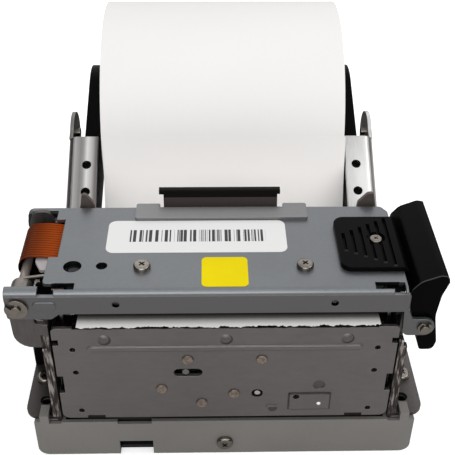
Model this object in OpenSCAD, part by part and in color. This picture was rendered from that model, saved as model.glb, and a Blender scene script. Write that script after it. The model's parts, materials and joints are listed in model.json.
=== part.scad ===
// Open-frame kiosk receipt printer: a steel mechanism on a tray, with a hinged print head cover,
// a squeeze latch, a guillotine cutter and two arms that carry the paper roll behind it.
// X runs to the right, Y to the back, Z up. The origin is the middle of the four mounting holes.

/* [Paper] */
// Width of the paper
paper_w = 80; // [76:0.5:80]
// Diameter of the full roll
roll_d = 76.8; // [40:0.2:76.8]
// Outer diameter of the cardboard core
core_d = 18; // [16:0.5:22]

/* [Mechanism] */
// Height of the head cover's top face above the mounting face
cover_top = 63.2; // [63:0.1:64]
// Thickness of the pressed steel sheet
sheet = 1.2; // [1:0.1:1.2]
// Diameter of the rubber platen roller
platen_d = 13.8; // [13:0.1:13.8]
// Travel of the cutter's slide and blade
cutter_stroke = 3.1; // [2.5:0.1:3.1]

/* [Base tray] */
// Width of the tray
tray_w = 109.8; // [109:0.2:111]
// Depth of the tray
tray_d = 100; // [98:1:104]
// Height of the tray's walls
tray_h = 14; // [13.8:0.1:14]
// Distance between the mounting holes from left to right
mount_x = 80; // [74:1:84]
// Distance between the mounting holes from front to back
mount_y = 76; // [70:1:80]
// Diameter of the mounting holes
mount_d = 4.5; // [3.5:0.1:5]

/* [Hidden] */

$fn = 48;
steel_grey = [0.46, 0.47, 0.48];
plate_blue = [0.52, 0.55, 0.57];
warm_steel = [0.42, 0.41, 0.40];
bright_steel = [0.78, 0.78, 0.77];
nickel = [0.66, 0.62, 0.56];
copper = [0.66, 0.54, 0.44];
black = [0.09, 0.09, 0.09];
rubber = [0.16, 0.16, 0.17];
white = [0.94, 0.93, 0.91];

fit_gap = 0.05;            // radial clearance of a running fit
skin = 0.15;               // thickness of the paper web and of the flat cable

// Paper: its middle stands a little right of the frame's middle
paper_x = 0.8;
web_z = 52;                // underside of the paper between the platen and the exit
roll_x = 0.4;
roll_y = 116;
roll_z = 52;
roll_r = roll_d / 2;

// Side frames
wall_in = 47;
wall_out = wall_in + sheet;
foot_out = 57.6;
foot_top = tray_h + sheet;

// Head cover and its hinge, which runs from front to back on the left
cover_under = cover_top - sheet;
cover_back = 37.2;
flange_low = 55.8;
hinge_x = -54;
hinge_z = 58;
hinge_r = 1.3;

// Latch on the right
latch_x = 52.7;
latch_z = 50.2;
latch_r = 1.2;

// Platen and its gear train
platen_y = 16;
platen_z = 45;
platen_shaft_r = 2.5;
motor_y = 34;
motor_z = 30;
motor_r = 14;
train_module = 0.5;
pinion_teeth = 12;
wheel_teeth = 36;
small_teeth = 16;
platen_teeth = 30;
centre_slack = 0.06;       // added to each centre distance, as a real train has
post_r = 1.5;

// Cutter
cut_front = -0.5;
cut_x = 8.9;
cut_z = 26;
cut_module = 0.6;
cut_teeth = 14;
slide_y = 1.6;
blade_y = 5.2;
blade_t = 0.5;
cam_x = 30;
cam_z = 33;
stud_x = 14;
cutter_half = 46.1;

// Roll arms and their brackets
arm_in = 41.4;
arm_out = 46.2;
bracket_in = 41.2;
bracket_out = 51.3;
slope = 32.8;              // of the bracket's face above the horizontal
bracket_bend = 3.6;        // outer radius of its bend
bracket_y = 85.1;          // upper end of that face
bracket_z = 58.6;
pin_y = 95.3;
pin_z = 52.8;

// ---- Places and shapes that several pieces use ----

// Children are drawn with Y counted from the tray's front face
module from_front() { translate([0, -tray_d / 2, 0]) children(); }

module block(x0, x1, y0, y1, z0, z1) { translate([x0, y0, z0]) cube([x1 - x0, y1 - y0, z1 - z0]); }

module rod_x(x0, x1, y, z, r) { translate([x0, y, z]) rotate([0, 90, 0]) cylinder(h = x1 - x0, r = r); }

module rod_y(y0, y1, x, z, r) { translate([x, y1, z]) rotate([90, 0, 0]) cylinder(h = y1 - y0, r = r); }

// Rod between two points [x, z] at one depth
module rod_xz(a, b, y, r) {
    translate([a[0], y, a[1]]) rotate([0, atan2(b[0] - a[0], b[1] - a[1]), 0])
        cylinder(h = norm(b - a), r = r);
}

module rod_z(z0, z1, x, y, r) { translate([x, y, z0]) cylinder(h = z1 - z0, r = r); }

// Flat shapes made solid: seen from the right (Y, Z), from the front (X, Z) or from above (X, Y)
module side_plate(x0, x1) {
    translate([x0, 0, 0]) rotate([90, 0, 90]) linear_extrude(height = x1 - x0) children();
}

module front_plate(y0, y1) {
    translate([0, y1, 0]) rotate([90, 0, 0]) linear_extrude(height = y1 - y0) children();
}

module flat_plate(z0, z1) { translate([0, 0, z0]) linear_extrude(height = z1 - z0) children(); }

module both_sides() {
    children();
    mirror([1, 0, 0]) children();
}

function unit(v) = v / norm(v);

// Arc that rounds corner b, between its neighbours a and c
function corner(a, b, c, r, steps) =
    let (u = unit(a - b), v = unit(c - b), half = acos(u * v) / 2)
    let (m = b + unit(u + v) * r / sin(half), s = b + u * r / tan(half) - m)
    let (e = b + v * r / tan(half) - m, w = 180 - 2 * half)
    [for (k = [0:steps]) m + (s * sin((1 - k / steps) * w) + e * sin(k / steps * w)) / sin(w)];

function xy(p) = [p[0], p[1]];

// Closed outline from corners [x, y, radius]
function rounded(pts, steps = 6) =
    let (n = len(pts))
    [for (i = [0:n - 1]) let (b = pts[i])
        each b[2] == 0 ? [xy(b)]
            : corner(xy(pts[(i + n - 1) % n]), xy(b), xy(pts[(i + 1) % n]), b[2], steps)];

// Open line from corners [x, y, radius]
function bent(pts, steps = 6) =
    let (n = len(pts))
    [for (i = [0:n - 1]) let (b = pts[i])
        each (i == 0 || i == n - 1 || b[2] == 0) ? [xy(b)]
            : corner(xy(pts[i - 1]), xy(b), xy(pts[i + 1]), b[2], steps)];

// Outline of a sheet of thickness t whose middle follows a line
function strip(line, t) =
    let (n = len(line))
    let (upper = beside(line, t / 2), lower = beside(line, -t / 2))
    concat(upper, [for (i = [n - 1:-1:0]) lower[i]]);

function curve(a, b, c, d, steps = 12, first = 0) =
    [for (k = [first:steps]) let (t = k / steps, s = 1 - t)
        a * s * s * s + b * 3 * s * s * t + c * 3 * s * t * t + d * t * t * t];

module slot_2d(x, y, half_length, r) {
    translate([x - half_length, y]) circle(r = r);
    translate([x + half_length, y]) circle(r = r);
    translate([x - half_length, y - r]) square([2 * half_length, 2 * r]);
}

// Helical spring along +Z, standing on z = 0
module coil(radius, wire_r, turns, length, steps = 16, sides = 6) {
    rings = ceil(turns * steps);
    rise = length - 2 * wire_r;
    points = [for (i = [0:rings]) let (a = 360 * i / steps) for (k = [0:sides - 1])
        let (b = 360 * k / sides, r = radius + wire_r * cos(b))
        [r * cos(a), r * sin(a), wire_r + rise * i / rings + wire_r * sin(b)]];
    walls = [for (i = [0:rings - 1]) for (k = [0:sides - 1]) let (n = (k + 1) % sides)
        [i * sides + k, i * sides + n, (i + 1) * sides + n, (i + 1) * sides + k]];
    caps = [[for (k = [sides - 1:-1:0]) k], [for (k = [0:sides - 1]) rings * sides + k]];
    polyhedron(points = points, faces = concat(walls, caps));
}

// Pan head screw: underside of the head on z = 0, shank below, cross recess on top
module pan_screw(head_r, head_h, shank_r, shank_l) {
    dome_r = (head_r * head_r + head_h * head_h) / head_h;
    recess = head_r * 0.55;
    difference() {
        union() {
            intersection() {
                cylinder(h = head_h, r = head_r);
                translate([0, 0, head_h - dome_r]) sphere(r = dome_r, $fn = 64);
            }
            translate([0, 0, -shank_l]) cylinder(h = shank_l, r = shank_r);
        }
        for (turn = [45, 135])
            rotate([0, 0, turn]) translate([-recess, -0.3, head_h * 0.45]) cube([2 * recess, 0.6, head_h]);
    }
}

// E-ring in the X, Z plane: three inner teeth and a mouth, from y = 0 to its thickness
module e_ring(outer_r, groove_r, thickness, mouth) {
    front_plate(0, thickness) rotate([0, 0, mouth]) difference() {
        circle(r = outer_r);
        circle(r = groove_r);
        translate([0, -groove_r]) square([outer_r * 1.2, groove_r * 2]);
        for (turn = [100, 260])
            rotate([0, 0, turn]) translate([groove_r * 1.25, 0]) scale_slot(groove_r * 0.7);
    }
}

module scale_slot(r) {
    rotate([0, 0, 90]) slot_2d(0, 0, r * 0.5, r * 0.55);
}

// ---- Gear shapes ----

function involute(base_r, r) = let (a = acos(min(1, base_r / r))) tan(a) * 180 / PI - a;

// Outline of a spur gear with stub teeth, one of them on the +X side
function gear_outline(teeth, m, backlash = 0.07) =
    let (pitch_r = teeth * m / 2, base_r = pitch_r * cos(20))
    let (tip_r = pitch_r + 0.8 * m, root_r = pitch_r - 1.05 * m, low_r = max(base_r, root_r))
    let (at_pitch = 90 / teeth - backlash / pitch_r * 90 / PI + involute(base_r, pitch_r))
    let (flank = [for (k = [0:4]) let (r = low_r + (tip_r - low_r) * k / 4)
        [r, at_pitch - involute(base_r, r)]])
    [for (i = [0:teeth - 1]) let (mid = 360 * i / teeth) each concat(
        [root_r * [cos(mid - flank[0][1]), sin(mid - flank[0][1])]],
        [for (f = flank) f[0] * [cos(mid - f[1]), sin(mid - f[1])]],
        [for (k = [4:-1:0]) flank[k][0] * [cos(mid + flank[k][1]), sin(mid + flank[k][1])]],
        [root_r * [cos(mid + flank[0][1]), sin(mid + flank[0][1])]])];

function pitch_radius(teeth) = teeth * train_module / 2;

// The idler's centre, from its distances to the feed motor and to the platen
idler_to_motor = pitch_radius(pinion_teeth) + pitch_radius(wheel_teeth) + centre_slack;
idler_to_platen = pitch_radius(small_teeth) + pitch_radius(platen_teeth) + centre_slack;
motor_to_platen = [platen_y - motor_y, platen_z - motor_z];
span = norm(motor_to_platen);
along = (span * span + idler_to_motor * idler_to_motor - idler_to_platen * idler_to_platen) / (2 * span);
aside = sqrt(max(0, idler_to_motor * idler_to_motor - along * along));
way = motor_to_platen / span;
idler_y = motor_y + way[0] * along + way[1] * aside;
idler_z = motor_z + way[1] * along - way[0] * aside;
to_motor = atan2(motor_z - idler_z, motor_y - idler_y);
to_platen = atan2(platen_z - idler_z, platen_y - idler_y);

module gear_x(x0, x1, y, z, teeth, turn) {
    side_plate(x0, x1) translate([y, z]) rotate([0, 0, turn]) polygon(gear_outline(teeth, train_module));
}

// ---- Base ----

module tray_section() {
    polygon(rounded([[-tray_w / 2, 0, 3], [tray_w / 2, 0, 3], [tray_w / 2, tray_h, 0],
        [-tray_w / 2, tray_h, 0]]));
}

module tray_room() {
    x = tray_w / 2 - sheet;
    polygon(rounded([[-x, sheet, 1.8], [x, sheet, 1.8], [x, tray_h, 0], [-x, tray_h, 0]]));
}

standoff_x = [-42, 42];
standoff_y = [50, 80];
board_z = 5;

module base_tray() {
    color(steel_grey) from_front() difference() {
        union() {
            front_plate(0, tray_d) difference() {
                tray_section();
                tray_room();
            }
            // Front and rear walls
            front_plate(0, sheet) tray_section();
            front_plate(tray_d - sheet, tray_d) tray_section();
            both_sides() {
                // Rim that the side frames' feet stand on
                block(46, tray_w / 2 - sheet, sheet, tray_d - sheet, tray_h - sheet, tray_h);
                // Tab that hooks over the foot's front edge
                block(50.6, 53.2, 0, sheet, tray_h, tray_h + 2.5);
                block(50.6, 53.2, sheet, 4.5, foot_top, tray_h + 2.5);
            }
            for (x = standoff_x) for (y = standoff_y) rod_z(sheet, board_z, x, y, 2.6);
        }
        // Notches in the front wall
        block(-31, -21.2, -1, sheet + 1, tray_h - 1, tray_h + 1);
        block(-30.9, -21.1, -1, sheet + 1, -1, 5.6);
        both_sides() block(47.1, 50.6, -1, sheet, tray_h - 0.6, tray_h + 1);
        // Cable way in the rear wall
        block(8, 42, tray_d - sheet - 1, tray_d + 1, 6, tray_h + 1);
        // Mounting holes, board screws, front screw and foot screws
        for (x = [-1, 1]) for (y = [-1, 1])
            rod_z(-1, sheet + 1, x * mount_x / 2, tray_d / 2 + y * mount_y / 2, mount_d / 2);
        for (x = standoff_x) for (y = standoff_y) rod_z(sheet + 0.2, board_z + 1, x, y, 1.25);
        rod_y(-1, sheet + 1, 0, 5, 1.5);
        for (y = foot_screw_y) both_sides() rod_z(tray_h - 3, tray_h + 1, foot_screw_x, y, 1.5);
        both_sides() rod_z(tray_h - 3, tray_h + 1, 52.3, 7.6, 1.7);
    }
}

foot_screw_x = 53.9;
foot_screw_y = [16.1, 66];

module tray_screws() {
    color(nickel) from_front() {
        translate([0, 0, 5]) rotate([90, 0, 0]) pan_screw(2.4, 1.5, 1.5, 4);
        for (y = foot_screw_y) for (x = [-foot_screw_x, foot_screw_x])
            translate([x, y, foot_top]) pan_screw(2.4, 1.6, 1.5, 3.5);
    }
}

// ---- Side frames ----

module wall_outline(top) {
    polygon(rounded(concat([[0.9, tray_h, 0]], top,
        [[50, 36, 3], [50, tray_h, 0]])));
}

module foot() {
    flat_plate(tray_h, foot_top)
        polygon(rounded([[wall_in, 1.4, 0], [foot_out, 1.4, 4], [foot_out, 72, 2], [wall_in, 72, 0]]));
}

// Front edge folded back on itself
module hem() {
    side_plate(wall_out - 0.1, wall_out + 1.1)
        polygon(rounded([[0.9, foot_top - 0.4, 0], [2.8, foot_top - 0.4, 0], [2.8, 42.4, 0.4],
            [0.9, 42.4, 0.4]], 3));
}

// Pressed seats that carry the cutter between the side frames
module cutter_seats() {
    for (z = [22, 40]) rod_x(cutter_half, wall_in, 5, z, 2);
}

module frame_holes() {
    rod_x(wall_in - 1, wall_out + 1, platen_y, platen_z, 3.5);
    rod_z(tray_h - 1, foot_top + 1, 52.3, 7.6, 1.7);
    for (y = foot_screw_y) rod_z(tray_h - 1, foot_top + 1, foot_screw_x, y, 1.5);
    for (y = bracket_screw_y) rod_z(tray_h - 1, foot_top + 1, bracket_screw_x, y, 1.5);
}

module left_side_frame() {
    front_ear = [[-wall_in, 42.6, 0], [-56.4, 42.6, 5], [-56.9, 61, 3], [-50.8, 61, 3],
        [-50.4, 51, 1], [-wall_in, 51, 0]];
    rear_ear = [[-wall_in, 50, 0], [-55.2, 50, 3], [-55.7, 60, 3], [-54.5, 63.9, 2.2], [-50, 63.9, 1.6],
        [-48.6, 61.2, 1], [-wall_in, 61.2, 0]];
    color(steel_grey) from_front() difference() {
        union() {
            mirror([1, 0, 0]) {
                side_plate(wall_in, wall_out)
                    wall_outline([[0.9, 51.2, 0.5], [3, 51.2, 0], [3, 57.2, 0.8], [6.4, 57.2, 0.8],
                        [6.4, 51.2, 0],
                        [9, 51.2, 0], [10, 53.4, 0.5], [32.6, 53.4, 0.3], [33.2, 61.2, 0.6],
                            [35.4, 61.2, 0],
                        [35.6, 53.2, 0], [38.8, 53.2, 1], [42.4, 46, 2]]);
                foot();
                hem();
                cutter_seats();
            }
            front_plate(1.5, 1.5 + sheet) polygon(rounded(front_ear));
            front_plate(0.9, 1.5 + sheet) square_between(-wall_out, -wall_in, 42.6, 51);
            front_plate(34.2, 34.2 + sheet) polygon(rounded(rear_ear));
        }
        mirror([1, 0, 0]) {
            frame_holes();
            rod_x(wall_in - 1, wall_out + 1, motor_y, motor_z, 4.5);
            rod_x(wall_in - 1, wall_out + 1, idler_y, idler_z, post_r);
            rod_x(wall_in - 1, wall_out + 1, 4.6, hinge_z - 2.6, 0.5);
        }
        rod_y(0, 41, hinge_x, hinge_z, hinge_r);
    }
}

module square_between(x0, x1, y0, y1) { translate([x0, y0]) square([x1 - x0, y1 - y0]); }

catch_y = 33;
catch_z = 42.6;

module right_side_frame() {
    color(steel_grey) from_front() difference() {
        union() {
            side_plate(wall_in, wall_out)
                wall_outline([[0.9, 44.4, 1], [3.4, 44.4, 0], [3.4, 53.4, 0.5], [29, 53.4, 0.5],
                    [30, 44.6, 1], [42.4, 44.6, 2]]);
            foot();
            hem();
            cutter_seats();
        }
        frame_holes();
        rod_x(wall_in - 1, wall_out + 1, catch_y, catch_z, 1);
        // Window that lightens the plate
        side_plate(wall_in - 1, wall_out + 1)
            polygon(rounded([[12, 20, 2], [30, 20, 2], [30, 34, 2], [12, 34, 2]]));
    }
}

module catch_pin() {
    color(nickel) from_front() {
        rod_x(wall_in, wall_out + 2.1, catch_y, catch_z, 1);
        rod_x(wall_in - 0.8, wall_in, catch_y, catch_z, 1.8);
    }
}

module rear_cross_plate() {
    ear_mid = 1.1;         // the paper ears stand with the paper, right of the middle
    // The ear's outline, from its mid line towards the right
    ear = [[-3.5, 53, 0], [-2.6, 64.8, 2.5], [0.2, 69.6, 1.6], [2, 69.9, 1], [2.9, 63.4, 1], [5.4, 54, 0]];
    color(warm_steel) from_front() {
        block(-wall_in, wall_in, 38.4, 38.4 + sheet, 43.8, 46.4);
        both_sides() block(42.2, wall_in, 38.4, 38.4 + sheet, 44.6, 54.5);
        front_plate(38.4, 38.4 + sheet) {
            translate([ear_mid + 40.3, 0]) polygon(rounded(ear));
            translate([ear_mid - 40.3, 0]) mirror([1, 0]) polygon(rounded(ear));
        }
    }
}

// ---- Cutter ----

rivets = [[-10.25, 39.4], [-17.7, 28.2], [-6.6, 22.4], [9.84, 39.3], [2.5, 26.1]];
slide_guides = [1, 3];

module cutter_front_plate() {
    back = cut_front + 1;
    outline = [[-cutter_half, 16.6, 2], [-39.1, 16.6, 0], [-39.1, 17.6, 0], [-34.1, 17.6, 0],
        [-34.1, 16.6, 0],
        [34.1, 16.6, 0], [34.1, 17.6, 0], [39.1, 17.6, 0], [39.1, 16.6, 0], [cutter_half, 16.6, 2],
        [cutter_half, 51.1, 1.2], [-cutter_half, 51.1, 1.2]];
    color(warm_steel) from_front() difference() {
        union() {
            front_plate(cut_front, back) polygon(rounded(outline, 4));
            both_sides() side_plate(cutter_half - 1, cutter_half)
                polygon(rounded([[back, 18.6, 0], [8, 18.6, 1], [8, 49.8, 1], [back, 49.8, 0]]));
            // Pressed bumps, rib and pad
            for (x = [-32.4, 0, 32.4])
                translate([x, cut_front, 47]) rotate([90, 0, 0]) cylinder(h = 0.4, r1 = 1.7, r2 = 1);
            front_plate(cut_front - 0.35, cut_front) slot_2d(0, 43.7, 36.2, 0.8);
            front_plate(cut_front - 0.35, cut_front)
                polygon(rounded([[17.9, 19.5, 0.8], [29.5, 19.5, 0.8], [29.5, 25.9, 0.8],
                    [17.9, 25.9, 0.8]]));
            front_plate(cut_front - 0.5, cut_front) intersection() {
                translate([13.2, 20.4]) circle(r = 1.5);
                square_between(11, 16, 18, 20.9);
            }
        }
        for (p = rivets) rod_y(cut_front - 1, back + 1, p[0], p[1], 1.2);
        for (x = [-1, 1]) {
            rod_y(cut_front - 1, back + 1, x * 40.95, 43.4, 0.8);
            rod_y(cut_front - 1, back + 1, x * 40.85, 34.8, 0.8);
            rod_y(cut_front - 1, back + 1, x * 40.6, 19.6, 0.8);
        }
        rod_y(cut_front - 1, back + 1, 19.9, 24.7, 0.9);
        rod_y(cut_front - 1, back + 1, 26.4, 21.9, 0.7);
        rod_y(cut_front - 1, cut_front + 0.3, 26.1, 29.2, 1.75);
        rod_y(cut_front - 1, back + 1, cut_x, cut_z, 1.6);
        front_plate(cut_front - 1, back + 1) slot_2d(-10.25, 34.5, 2.5, 1.45);
        both_sides() {
            block(44.5, cutter_half + 1, cut_front - 1, 3.2, 45, 47);
            block(44.5, cutter_half + 1, cut_front - 1, 3.2, 26.8, 33.4);
        }
    }
}

module cutter_rivets() {
    color(copper) from_front() for (p = rivets) {
        rod_y(cut_front - 0.45, cut_front, p[0], p[1], 1.95);
        rod_y(cut_front, cut_front + 1.6, p[0], p[1], 1.2);
    }
    // Two of them are longer and guide the slide
    color(copper) from_front() for (i = slide_guides) {
        rod_y(cut_front, slide_y + 1.6, rivets[i][0], rivets[i][1], 1.2);
        rod_y(slide_y + 1.3, slide_y + 1.8, rivets[i][0], rivets[i][1], 1.9);
    }
}

module cutter_back_plate() {
    color(steel_grey) from_front() {
        difference() {
            front_plate(7, 8)
                polygon(rounded([[-45.1, 18.6, 1], [45.1, 18.6, 1], [45.1, 47, 1], [-45.1, 47, 1]]));
            rod_y(6, 9, cut_x, cut_z, 4);
            for (x = [-30, 30]) rod_y(6, 9, x, 22, 1.5);
        }
        // Studs that guide the blade
        for (x = [-stud_x, stud_x]) {
            rod_y(4.4, 7, x, 38, 1);
            rod_y(4.4, 5, x, 38, 1.7);
        }
    }
}

module cutter_motor() {
    body_front = 8.4;
    color(bright_steel) from_front() difference() {
        union() {
            rod_y(body_front, 30, cut_x, cut_z, 10);
            rod_y(7, body_front, cut_x, cut_z, 4);
            rod_y(30, 31.5, cut_x, cut_z, 4.5);
            for (x = [-4, 4]) block(cut_x + x - 0.25, cut_x + x + 0.25, 30, 33.5, cut_z - 1.2, cut_z + 1.2);
        }
        rod_y(6, 14, cut_x, cut_z, 0.9 + fit_gap);
    }
}

module exit_guide() {
    color(black) from_front() difference() {
        union() {
            block(1 - cutter_half, cutter_half - 1, cut_front + 1, 4.7, 48.4, 51.1);
            block(paper_x - paper_w / 2 - 1, paper_x + paper_w / 2 + 1, cut_front + 1, 4.7, 51.1, web_z);
        }
        for (x = [-36:12:36]) block(x - 4.5, x + 4.5, 2, 5, 47, 50.4);
        for (x = [-guide_pin_x, guide_pin_x]) rod_z(48.9, 53, x, 3.4, 0.9);
    }
}

guide_pin_x = 43.3;

// Pins at the ends of the exit guide, which steer the head cover as it closes
module guide_pins() {
    color(nickel) from_front() for (x = [-guide_pin_x, guide_pin_x]) {
        rod_z(48.9, 53.4, x, 3.4, 0.9);
        translate([x, 3.4, 53.4]) cylinder(h = 1.9, r1 = 0.9, r2 = 0.35);
    }
}

module cam_slot() { polygon(cam_outline()); }

function cam_outline() =
    let (r = 1.08, d = cutter_stroke / 2, line = [[d, -d], [-d, d]])
    let (a = [for (k = [-6:6]) line[0] + r * [cos(-45 + 15 * k), sin(-45 + 15 * k)]])
    let (b = [for (k = [-6:6]) line[1] + r * [cos(135 + 15 * k), sin(135 + 15 * k)]])
    concat(a, b);

module cutter_slide() {
    pitch = PI * cut_module;
    line_z = cut_z + cut_teeth * cut_module / 2;
    tooth = [[-pitch / 2, 0.65], [-pitch / 4 - 0.2, 0.65], [-pitch / 4 + 0.22, -0.48],
        [pitch / 4 - 0.22, -0.48], [pitch / 4 + 0.2, 0.65], [pitch / 2, 0.65], [pitch / 2, 1],
            [-pitch / 2, 1]];
    color(bright_steel) from_front() {
        front_plate(slide_y, slide_y + 1.2) {
            difference() {
                polygon(rounded([[-40, 19.6, 1], [38, 19.6, 1], [38, 41.4, 2], [-40, 41.4, 2]]));
                translate([cut_x - 9.6, 20.7]) square([16.4, line_z + 0.65 - 20.7]);
                for (x = [-cam_x, cam_x])
                    translate([x - cutter_stroke / 2, cam_z + cutter_stroke / 2]) cam_slot();
                for (i = slide_guides)
                    slot_2d(rivets[i][0] - cutter_stroke / 2, rivets[i][1], cutter_stroke / 2 + 0.1, 1.3);
            }
            for (i = [-5:2]) translate([cut_x + i * pitch, line_z]) polygon(tooth);
        }
        // Pin that shows in the front plate's slot
        rod_y(cut_front + 0.2, slide_y, -10.9, 34.5, 0.95);
    }
}

module cutter_pinion() {
    color(bright_steel) from_front() {
        front_plate(slide_y - 0.1, slide_y + 1.4) translate([cut_x, cut_z])
            rotate([0, 0, 90 + 180 / cut_teeth]) polygon(gear_outline(cut_teeth, cut_module, 0.08));
        rod_y(cut_front + 0.1, 13.5, cut_x, cut_z, 0.9);
    }
}

module moving_blade() {
    // The cutting edge is a shallow V, so that it meets the paper from both sides
    edge = [[-42, 51, 0], [-42, 29, 2], [42, 29, 2], [42, 51, 0], [0, 49.7, 0]];
    color(bright_steel) from_front() {
        front_plate(blade_y, blade_y + blade_t) difference() {
            polygon(rounded(edge, 4));
            for (x = [-stud_x, stud_x]) {
                translate([x, 38]) circle(r = 1.15);
                translate([x, 38 - cutter_stroke]) circle(r = 1.15);
                translate([x - 1.15, 38 - cutter_stroke]) square([2.3, cutter_stroke]);
            }
            translate([cut_x, cut_z + 4]) circle(r = 5);
        }
        for (x = [-cam_x, cam_x]) {
            rod_y(slide_y, blade_y, x, cam_z, 0.95);
            rod_y(slide_y + 1.5, blade_y, x, cam_z, 2);
        }
    }
}

// ---- Platen and feed drive ----

module platen_roller() {
    color(rubber) from_front() difference() {
        rod_x(-41, 41, platen_y, platen_z, platen_d / 2);
        rod_x(-42, 42, platen_y, platen_z, platen_shaft_r);
    }
}

module platen_shaft() {
    color(bright_steel) from_front() rod_x(-53.1, 49.8, platen_y, platen_z, platen_shaft_r);
}

module platen_bushes() {
    color(nickel) from_front() both_sides() difference() {
        union() {
            rod_x(wall_in, wall_out + 0.5, platen_y, platen_z, 3.5);
            rod_x(wall_in - 0.8, wall_in, platen_y, platen_z, 4.5);
        }
        rod_x(wall_in - 2, wall_out + 2, platen_y, platen_z, platen_shaft_r + fit_gap);
    }
}

module platen_gear() {
    color(white) from_front() difference() {
        gear_x(-52.6, -49.8, platen_y, platen_z, platen_teeth, atan2(idler_z - platen_z, idler_y - platen_y)
            + 180 / platen_teeth);
        rod_x(-54, -49, platen_y, platen_z, platen_shaft_r);
        for (turn = [0:60:300]) side_plate(-54, -49)
            translate([platen_y, platen_z]) rotate([0, 0, turn]) translate([4.8, 0]) circle(r = 1.2);
    }
}

module idler_gear() {
    color(white) from_front() difference() {
        union() {
            gear_x(-55.6, -53.6, idler_y, idler_z, wheel_teeth, to_motor);
            gear_x(-53.6, -49.6, idler_y, idler_z, small_teeth, to_platen);
        }
        rod_x(-57, -49, idler_y, idler_z, post_r + fit_gap);
        for (turn = [30:60:330]) side_plate(-57, -53.6)
            translate([idler_y, idler_z]) rotate([0, 0, turn]) translate([6.4, 0]) circle(r = 1.3);
    }
}

module idler_post() {
    color(nickel) from_front() {
        rod_x(-56, -wall_in, idler_y, idler_z, post_r);
        rod_x(-49.4, -wall_out, idler_y, idler_z, 2.6);
        rod_x(-56.4, -55.8, idler_y, idler_z, 2.3);
    }
}

module feed_motor() {
    ear_y = 17.5;
    color(bright_steel) from_front() difference() {
        union() {
            rod_x(-wall_in, -27, motor_y, motor_z, motor_r);
            rod_x(-wall_out, -wall_in, motor_y, motor_z, 4.5);
            // Mounting lugs against the frame
            side_plate(-wall_in, -wall_in + 1) {
                slot_2d(motor_y, motor_z, ear_y, 3.2);
                circle_at(motor_y, motor_z, motor_r);
            }
            block(-36, -29, motor_y + motor_r - 1, motor_y + motor_r + 2.4, motor_z - 4, motor_z + 4);
        }
        rod_x(-wall_out - 1, -38, motor_y, motor_z, 1 + fit_gap);
    }
}

module circle_at(x, y, r) { translate([x, y]) circle(r = r); }

module feed_pinion() {
    color(nickel) from_front() {
        gear_x(-56, -53.2, motor_y, motor_z, pinion_teeth, to_motor + 180 + 180 / pinion_teeth);
        rod_x(-56, -39, motor_y, motor_z, 1);
        rod_x(-53.2, -50.4, motor_y, motor_z, 2);
    }
}

module gear_cover() {
    room = 1;
    x_out = -57.6;
    low = foot_top + room;
    outer = [[22, foot_top, 0], [22, 25, 1], [14.2, 31, 2], [14.2, 49.8, 2], [43.4, 49.8, 2.5],
        [43.4, foot_top, 0]];
    inner = [[22 + room, low, 0.5], [22 + room, 25 + room / 2, 1], [14.2 + room, 31 + room / 2, 1],
        [14.2 + room, 49.8 - room, 1], [43.4 - room, 49.8 - room, 1.5], [43.4 - room, low, 0.5]];
    color(black) from_front() difference() {
        side_plate(x_out, -wall_out) polygon(rounded(outer));
        side_plate(x_out + room, -wall_out + 1) polygon(rounded(inner));
        // The platen gear runs in this notch
        rod_x(-53.2, -wall_out + 1, platen_y, platen_z, 8.6);
    }
}

// ---- Hinge ----

module hinge_shaft() {
    color(nickel) from_front() difference() {
        rod_y(-1.5, 38.9, hinge_x, hinge_z, hinge_r);
        for (y = [-0.85, 37.5]) groove_y(y, y + 0.6, hinge_x, hinge_z, hinge_r, 0.85);
    }
}

module groove_y(y0, y1, x, z, r, groove_r) {
    difference() {
        rod_y(y0, y1, x, z, r + 0.5);
        rod_y(y0 - 1, y1 + 1, x, z, groove_r);
    }
}

module hinge_clips() {
    color(nickel) from_front() for (y = [-0.8, 37.55])
        translate([hinge_x, y, hinge_z]) e_ring(3, 0.85, 0.5, 140);
}

module hinge_spring() {
    coil_r = 2.4;
    wire_r = 0.4;
    color(bright_steel) from_front() union() {
        translate([hinge_x, 9.6, hinge_z]) rotate([90, 0, 0]) coil(coil_r, wire_r, 6.5, 5.6, 16, 8);
        // Leg under the head cover
        translate([hinge_x, 9.2, hinge_z + coil_r]) rotate([0, 81.5, 0]) cylinder(h = 8, r = wire_r);
        // Leg held in the frame
        rod_x(hinge_x, -wall_in + 0.6, 4.6, hinge_z - 2.6, wire_r);
    }
}

// ---- Flat cable between the frame and the print head ----

cable_y0 = 15.9;
cable_y1 = 31.4;

function cable_line() =
    concat([[-38, 61.55], [-44.6, 61.55], [-47, 61.9]],
        [for (k = [0:12]) let (a = 82 + 188 * k / 12) [-52.2, 58.2] + 3.95 * [cos(a), sin(a)]],
        [[-50.6, 54.25]]);

module flex_cable() {
    color([0.60, 0.26, 0.05]) from_front() front_plate(cable_y0, cable_y1)
        polygon(strip(cable_line(), skin));
}

module flex_socket() {
    color(black) from_front() difference() {
        block(-50.6, -46.2, 14.9, 32.4, 53.4, 56);
        block(-51, -50.1, cable_y0 - 0.2, cable_y1 + 0.2, 53.95, 54.55);
    }
}

// ---- Head cover ----

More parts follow.
